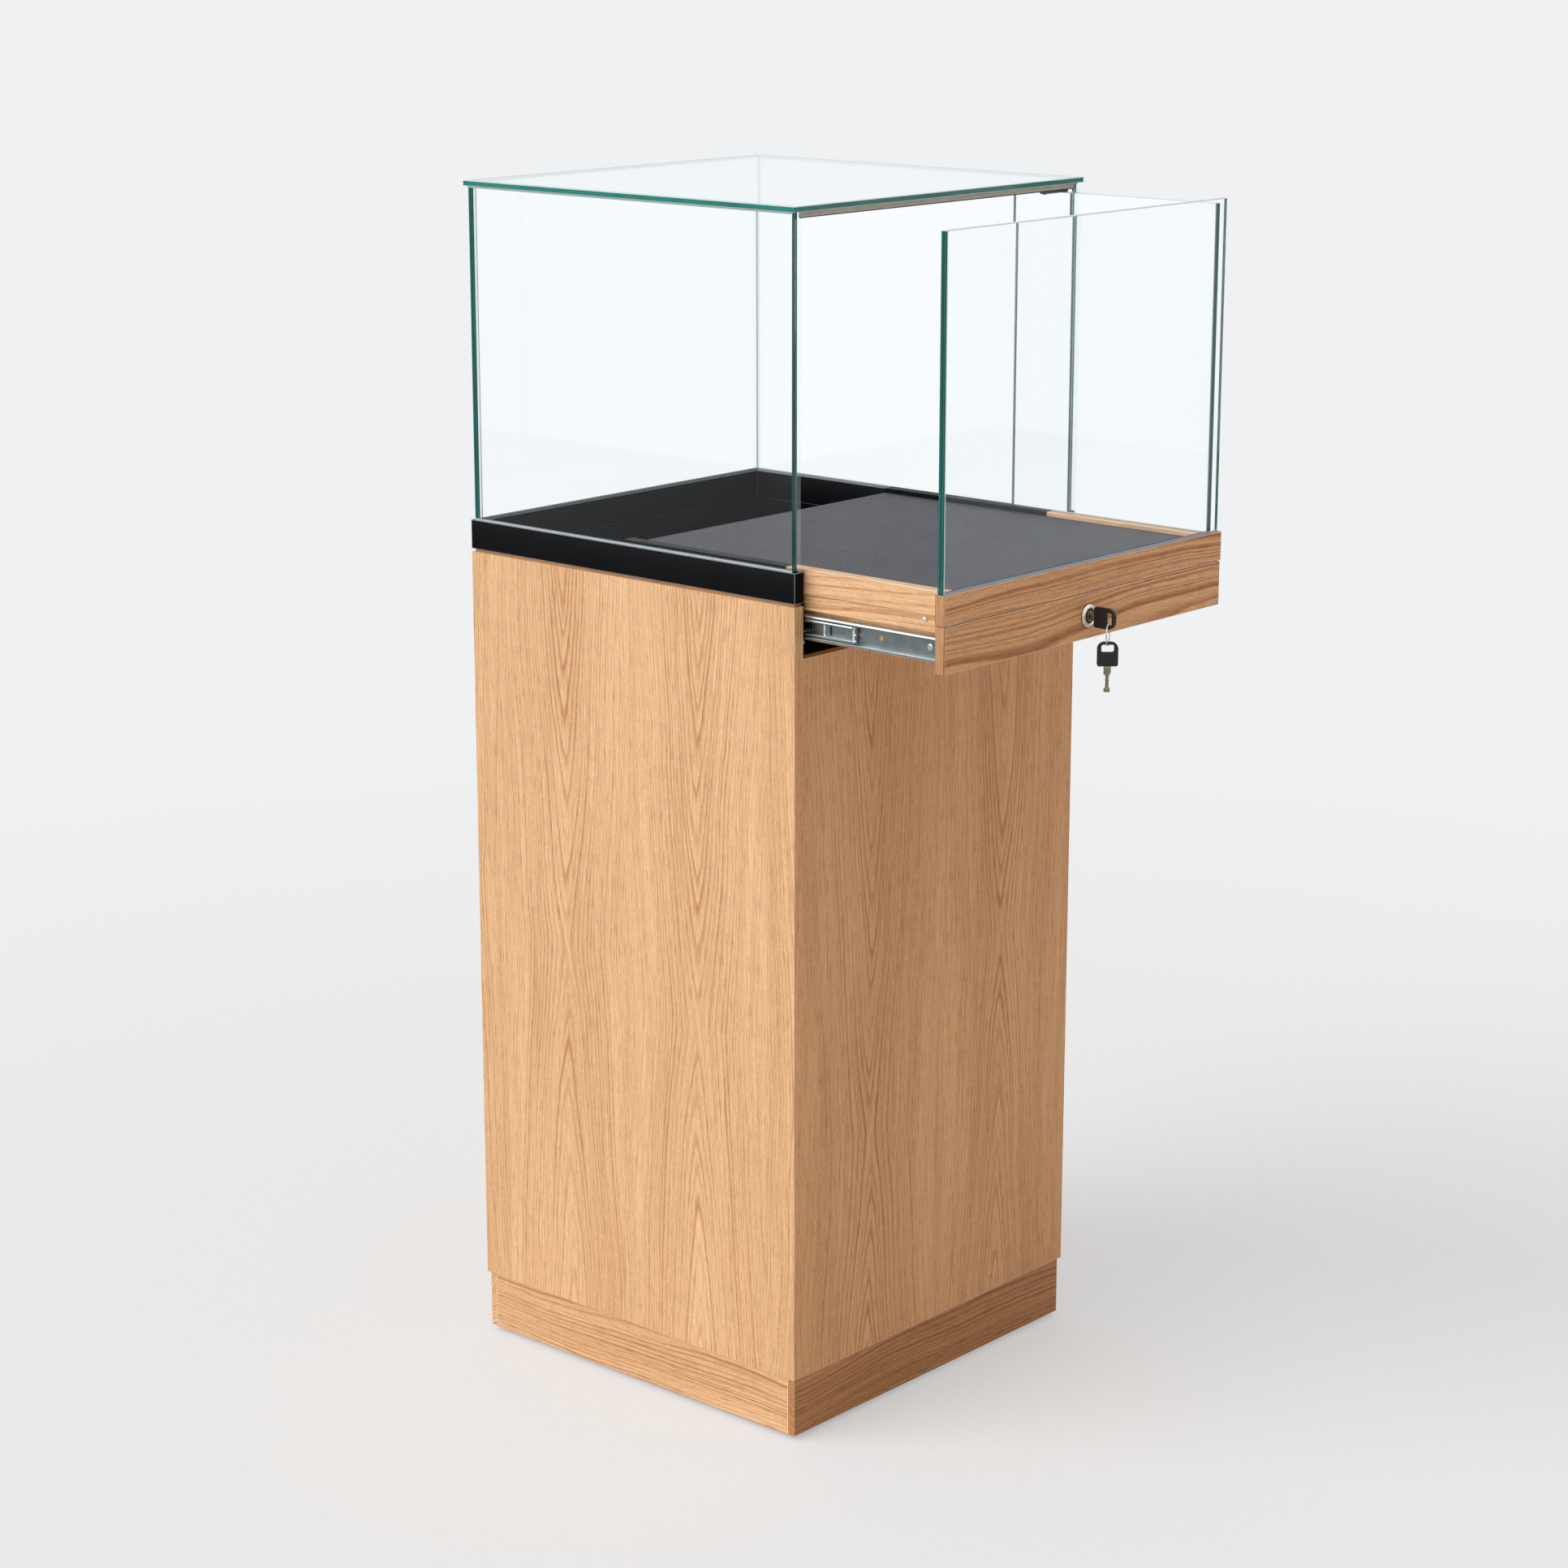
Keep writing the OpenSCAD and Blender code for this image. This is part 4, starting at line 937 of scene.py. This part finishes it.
form = bmesh.new()
corner = [(return_low.x + x * MM, front_high.y + y * MM) for x, y in ((-1.0, -0.2), (0.3, -0.2), (0.3, 1.0))]
extrusion(form, corner, *run_z(return_low.z + 1.0 * MM, return_high.z - 1.0 * MM))
add_piece("return_bond", form, bond, "drawer")


# ---- Rail covers ------------------------------
# Black covers on the rear part of the deck's rails, where the photo shows no oak in the case

COVER_T = 0.35 * MM
COVER_HEM = 4.0 * MM                    # how far a cover reaches down the rail's outer side
COVER_START = cap_low.y + 24.0 * MM

low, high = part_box("deck_rail_left")
deck_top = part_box("deck_panel")[HIGH].z
cover_top = high.z + COVER_T
hem = high.z - COVER_HEM
form = bmesh.new()
for side in SIDES.values():
    outer, inner = side * -low.x, side * -high.x
    proud, inside = outer + side * COVER_T, inner - side * COVER_T
    outline = [(outer, hem), (proud, hem), (proud, cover_top), (inside, cover_top),
               (inside, deck_top), (inner, deck_top), (inner, high.z), (outer, high.z)]
    extrusion(form, outline, *run_y(COVER_START, high.y))
    end = [(proud, low.z), (proud, cover_top), (inside, cover_top), (inside, low.z)]
    extrusion(form, end, *run_y(high.y, high.y + COVER_T))
add_piece("rail_covers", form, black_frame, "drawer")


# ---- Brush strip ------------------------------
# A ribbed back with a dark bead along its lower edge, and the bristles behind it

brush_low, brush_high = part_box("brush_seal")
RIBS = 5
RIB_H = (brush_high.z - brush_low.z - 1.2 * MM) / RIBS
back_y = brush_low.y + 2.6 * MM
section = [(back_y, brush_high.z), (brush_low.y + 0.3 * MM, brush_high.z)]
for k in range(RIBS):
    z = brush_high.z - RIB_H * k
    section += [(brush_low.y, z - 0.25 * RIB_H), (brush_low.y, z - 0.75 * RIB_H),
                (brush_low.y + 0.35 * MM, z - RIB_H)]
section.append((back_y, brush_high.z - RIB_H * RIBS))
form = bmesh.new()
extrusion(form, section, *run_x(brush_low.x, brush_high.x))
add_piece("brush_back", form, pile_x, "pedestal", ("brush_seal",), smooth_under=20.0)

bead_z = brush_low.z + 0.7 * MM
bead_xs = (brush_low.x + 0.2 * MM, 0.0, brush_high.x - 0.2 * MM)
form = bmesh.new()
tube(form, [(x, brush_low.y + 0.8 * MM, bead_z) for x in bead_xs], 0.65 * MM)
for x in (brush_low.x + 1.4 * MM, brush_high.x - 1.4 * MM):
    plug = [(x + a * MM, brush_low.y + 1.0 * MM, bead_z + 0.2 * MM) for a in (-1.3, -0.6, 0.6, 1.3)]
    tube(form, plug, 0.95 * MM)
add_piece("brush_bead", form, bead_dark, "pedestal")

BRISTLES = 420
form = bmesh.new()
for k in range(BRISTLES):
    x = brush_low.x + 2.0 * MM + (brush_high.x - brush_low.x - 4.0 * MM) * k / (BRISTLES - 1)
    y = brush_low.y + (3.4 + 1.6 * ((k * 7) % 5) / 5) * MM
    tip_z = brush_low.z + (0.2 + 0.5 * ((k * 3) % 7) / 7) * MM
    lean = 0.25 * MM * math.sin(1.7 * k)
    square = circle_points(0.42 * MM, 4)
    top = [(x + a, y + b, brush_high.z) for a, b in square]
    tip = [(x + 0.5 * a + lean, y + 0.5 * b, tip_z) for a, b in square]
    skin(form, [top, tip])
add_piece("brush_bristles", form, pile_x, "pedestal")

# Buffer on the right-hand end of the frame: radius and height of its rings, in mm
BUFFER = ((3.4, 0.0), (3.6, 1.2), (3.3, 2.6), (2.4, 3.9), (1.1, 4.6), (0.3, 4.7))
buffer_at = Vector((cap_high.x - 4.5 * MM, cap_low.y + 3.8 * MM, FRAME_TOP - 0.3 * MM))
form = bmesh.new()
skin(form, [[buffer_at + Vector((a, b, z * MM)) for a, b in circle_points(r * MM, 20)] for r, z in BUFFER])
add_piece("frame_buffer", form, taupe, "pedestal")


# ---- Keys -------------------------------------

bow_low, bow_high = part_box("key_bow")
spare_low, spare_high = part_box("spare_key_bow")
ring_low, ring_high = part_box("key_ring")
BOW_L = 27.0 * MM                       # length of a key's bow
RING_YAW = math.radians(28.0)
SPARE_YAW = math.radians(-48.0)
WIRE_R = 0.36 * MM
RING_R = (ring_high.z - ring_low.z) / 2 - 0.7 * MM
RING_STEPS, LAP_STEPS = 96, 5           # steps in one turn of wire, and past the second turn

# The split ring: two turns of wire side by side, with a quick step between them
ring_side = Vector((math.cos(RING_YAW), math.sin(RING_YAW), 0.0))
ring_axis = Vector((-math.sin(RING_YAW), math.cos(RING_YAW), 0.0))
ring_up = Vector((0.0, 0.0, 1.0))
ring_centre = (ring_low + ring_high) / 2
points = []
for i in range(2 * RING_STEPS + LAP_STEPS):
    turn = math.tau * i / RING_STEPS + 0.9
    shift = WIRE_R * min(1.0, max(-1.0, (i / RING_STEPS - 1.0) / 0.06))
    spoke = ring_side * math.cos(turn) + ring_up * math.sin(turn)
    points.append(ring_centre + spoke * RING_R + ring_axis * shift)
form = bmesh.new()
tube(form, points, WIRE_R)
add_piece("split_ring", form, steel, "key_ring", ("key_ring",), smooth_under=60.0)

# A blade below its bow, in mm: outlines of the flat parts, and radius and place of the shank
COLLAR = ((-4.0, 0.0), (4.0, 0.0), (4.0, -7.2), (3.1, -7.9), (3.6, -8.8), (2.6, -10.0),
          (-2.6, -10.0), (-4.0, -9.0))
BIT = ((-3.5, -24.2), (3.0, -24.2), (3.5, -25.4), (2.7, -26.3), (3.4, -27.4), (3.0, -29.0),
       (-3.0, -29.0), (-3.6, -27.8))
SHANK = ((1.6, -9.6), (1.95, -9.9), (1.95, -12.6), (1.65, -12.9), (1.65, -13.4), (1.95, -13.7),
         (1.95, -17.2), (1.65, -17.5), (1.65, -18.0), (1.95, -18.3), (1.95, -24.0), (1.6, -24.6))


def between(at, near, far):
    """Start and end of an extrusion through a key's flat."""
    return (lambda a, c: at(a, near, c)), (lambda a, c: at(a, far, c))


def key_blade_form(at):
    """A key's blade below its bow: notched collar, grooved round shank, and a flat bit.

    at(a, b, c) places a point: a across the flat, b through it, c from the bow's far edge.
    """
    form = bmesh.new()
    for outline in (COLLAR, BIT):
        extrusion(form, [(a * MM, c * MM - BOW_L) for a, c in outline],
                  *between(at, -0.95 * MM, 0.95 * MM), bevel=0.18 * MM)
    skin(form, [[at(a, b, c * MM - BOW_L) for a, b in circle_points(r * MM, 18)] for r, c in SHANK])
    return form


def grips(at):
    """Three raised ribs on each flat of a bow, below its hole."""
    form = bmesh.new()
    for face in (-1, 1):
        for c in (-15.5, -18.0, -20.5):
            outline = [(-6.0, c - 0.5), (6.0, c - 0.5), (6.6, c), (6.0, c + 0.5), (-6.0, c + 0.5), (-6.6, c)]
            extrusion(form, [(a * MM, b * MM) for a, b in outline],
                      *between(at, face * 2.1 * MM, face * 2.55 * MM), bevel=0.12 * MM)
    return form


def in_lock(a, b, c):
    """A point of the key in the lock."""
    return Vector((b, bow_low.y - c, (bow_low.z + bow_high.z) / 2 + a))


def on_ring(a, b, c):
    """A point of the spare key."""
    cos, sin = math.cos(SPARE_YAW), math.sin(SPARE_YAW)
    middle = (spare_low + spare_high) / 2
    return Vector((middle.x + a * cos - b * sin, middle.y + a * sin + b * cos, spare_high.z + c))


add_piece("key_blade_cut", key_blade_form(in_lock), brass, "lock_plug", ("key_blade",))
add_piece("spare_blade_cut", key_blade_form(on_ring), brass, "spare_key",
          ("spare_key_blade",))
add_piece("key_bow_grips", grips(in_lock), key_plastic, "lock_plug")
add_piece("spare_bow_grips", grips(on_ring), key_plastic, "spare_key")


# ---- Lock -------------------------------------

LOCK_Z = middle_of("lock_barrel").z
FRONT_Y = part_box("fascia_lower")[LOW].y

# The dark throat round the plug, a rounded step on the lock's ring, and the shadow line where
# the ring sits on the oak, the throat and the line being near-black rings of painted shade:
# name, turns, material, and radius and height of the section, in mm
LOCK_RINGS = (
    ("lock_throat", 48, pit_shade, ((6.05, 2.35), (6.6, 2.45), (8.2, 2.45), (8.4, 2.2), (8.4, 2.0), (6.05, 2.0))),
    ("lock_step", 64, nickel, ((8.9, 2.3), (9.2, 2.9), (9.8, 3.15), (10.4, 2.9), (10.7, 2.3))),
    ("lock_shadow_line", 64, pit_shade, ((12.2, 0.0), (13.6, 0.0), (13.5, 0.22), (12.2, 0.3))),
)


def on_lock(radius, height, turn):
    """A point round the lock's axis, that high over the drawer front."""
    return Vector((radius * math.cos(turn), FRONT_Y - height, LOCK_Z + radius * math.sin(turn)))


for name, count, material, section in LOCK_RINGS:
    turns = [math.tau * i / count for i in range(count)]
    form = bmesh.new()
    skin(form, [[on_lock(r * MM, h * MM, turn) for r, h in section] for turn in turns], closed=True)
    add_piece(name, form, material, "drawer")


# ---- Studio -----------------------------------

FLOOR_HALF = 60.0
FLOOR_NEAR, FLOOR_FAR = 1.2, 3.2        # where the floor starts to fade, and is all backdrop
FLOOR_GLOW = 0.46                       # share of the backdrop's colour in the floor near the case
FLOOR_TONES = ((0.795, 0.788, 0.776), (0.815, 0.808, 0.796))
BACKDROP = (0.872, 0.880, 0.890)        # as the camera sees it
THROUGH = (0.960, 0.980, 0.995)         # as it shows through glass
FLOOR_MIRRORED = (0.38, 0.40, 0.41)     # the floor as it shows in metal and on glass
SKY_MIRRORED = (0.90, 0.94, 0.96)       # the space above it as it shows there
FILL = (0.298, 0.294, 0.290)            # the world's light

CAMERA_AT = (-3.08423, -2.73870, 1.74297)
CAMERA_AIM = (0.00687, -0.00777, 0.687)
LENS, SENSOR = 82.13, 36.0

# Name, place, power, spread in degrees and colour of each lamp
LAMPS = (
    ("key", (-3.0, 1.6, 1.9), 2.30, 55.0, (0.98, 0.99, 1.0)),
    ("overhead", (-0.3, 0.2, 4.0), 1.03, 120.0, (1.0, 1.0, 1.0)),
)


def studio_floor():
    mesh = bpy.data.meshes.new("studio_floor")
    corners = [(FLOOR_HALF * x, FLOOR_HALF * y, 0.0) for x, y in ((-1, -1), (1, -1), (1, 1), (-1, 1))]
    mesh.from_pydata(corners, [], [(0, 1, 2, 3)])
    floor = bpy.data.objects.new("studio_floor", mesh)
    bpy.context.scene.collection.objects.link(floor)
    g = Graph("studio_floor")
    place = g.split()
    grain = g.noise(g.coordinates(), 60.0, 3.0)
    away = g.math("SQRT", g.math("ADD", g.math("POWER", place[X], 2.0), g.math("POWER", place[Y], 2.0)))
    lit = g.add("ShaderNodeBsdfDiffuse")
    g.put(lit.inputs["Color"], g.blend(g.span(grain, 0.3, 0.7), *FLOOR_TONES))
    glow = g.add("ShaderNodeEmission")
    # A ray through glass counts as glossy too, so the colour seen through glass goes last
    colour = g.blend(g.ray("Transmission"), g.blend(g.ray("Glossy"), BACKDROP, FLOOR_MIRRORED), THROUGH)
    g.put(glow.inputs["Color"], colour)
    share = g.span(away, FLOOR_NEAR, FLOOR_FAR, FLOOR_GLOW, 1.0)
    factor = g.times(g.ray("Camera", "Glossy", "Transmission"), share)
    mesh.materials.append(g.finish(g.mix_shaders(factor, lit.outputs[0], glow.outputs[0])))


def studio_world():
    """The fill light, with another colour for what is mirrored, seen through glass, or seen."""
    world = bpy.data.worlds.new("studio")
    bpy.context.scene.world = world
    world.use_nodes = True
    tree = world.node_tree
    tree.nodes.clear()

    def background(colour):
        node = tree.nodes.new("ShaderNodeBackground")
        node.inputs["Color"].default_value = (*colour, 1.0)
        return node.outputs[0]

    path = tree.nodes.new("ShaderNodeLightPath")
    shader = background(FILL)
    for kind, colour in (("Glossy", SKY_MIRRORED), ("Transmission", THROUGH), ("Camera", BACKDROP)):
        mix = tree.nodes.new("ShaderNodeMixShader")
        tree.links.new(path.outputs[f"Is {kind} Ray"], mix.inputs[0])
        tree.links.new(shader, mix.inputs[1])
        tree.links.new(background(colour), mix.inputs[2])
        shader = mix.outputs[0]
    tree.links.new(shader, tree.nodes.new("ShaderNodeOutputWorld").inputs["Surface"])


def aim(obj, target):
    obj.rotation_euler = (Vector(target) - obj.location).to_track_quat("-Z", "Y").to_euler()


def studio_lamp(name, position, power, spread, colour):
    """A soft lamp so far away that it lights everything evenly."""
    light = bpy.data.lights.new(name, "SUN")
    light.energy = power
    light.angle = math.radians(spread)
    light.color = colour
    lamp = bpy.data.objects.new(name, light)
    bpy.context.scene.collection.objects.link(lamp)
    lamp.location = position
    aim(lamp, (0.0, 0.0, 0.0))


def studio_camera():
    data = bpy.data.cameras.new("camera")
    data.lens = LENS
    data.sensor_width = SENSOR
    data.clip_end = 200.0
    camera = bpy.data.objects.new("camera", data)
    bpy.context.scene.collection.objects.link(camera)
    camera.location = CAMERA_AT
    aim(camera, CAMERA_AIM)
    bpy.context.scene.camera = camera


studio_floor()
studio_world()
for lamp in LAMPS:
    studio_lamp(*lamp)
studio_camera()
bpy.context.scene.view_settings.view_transform = "Standard"
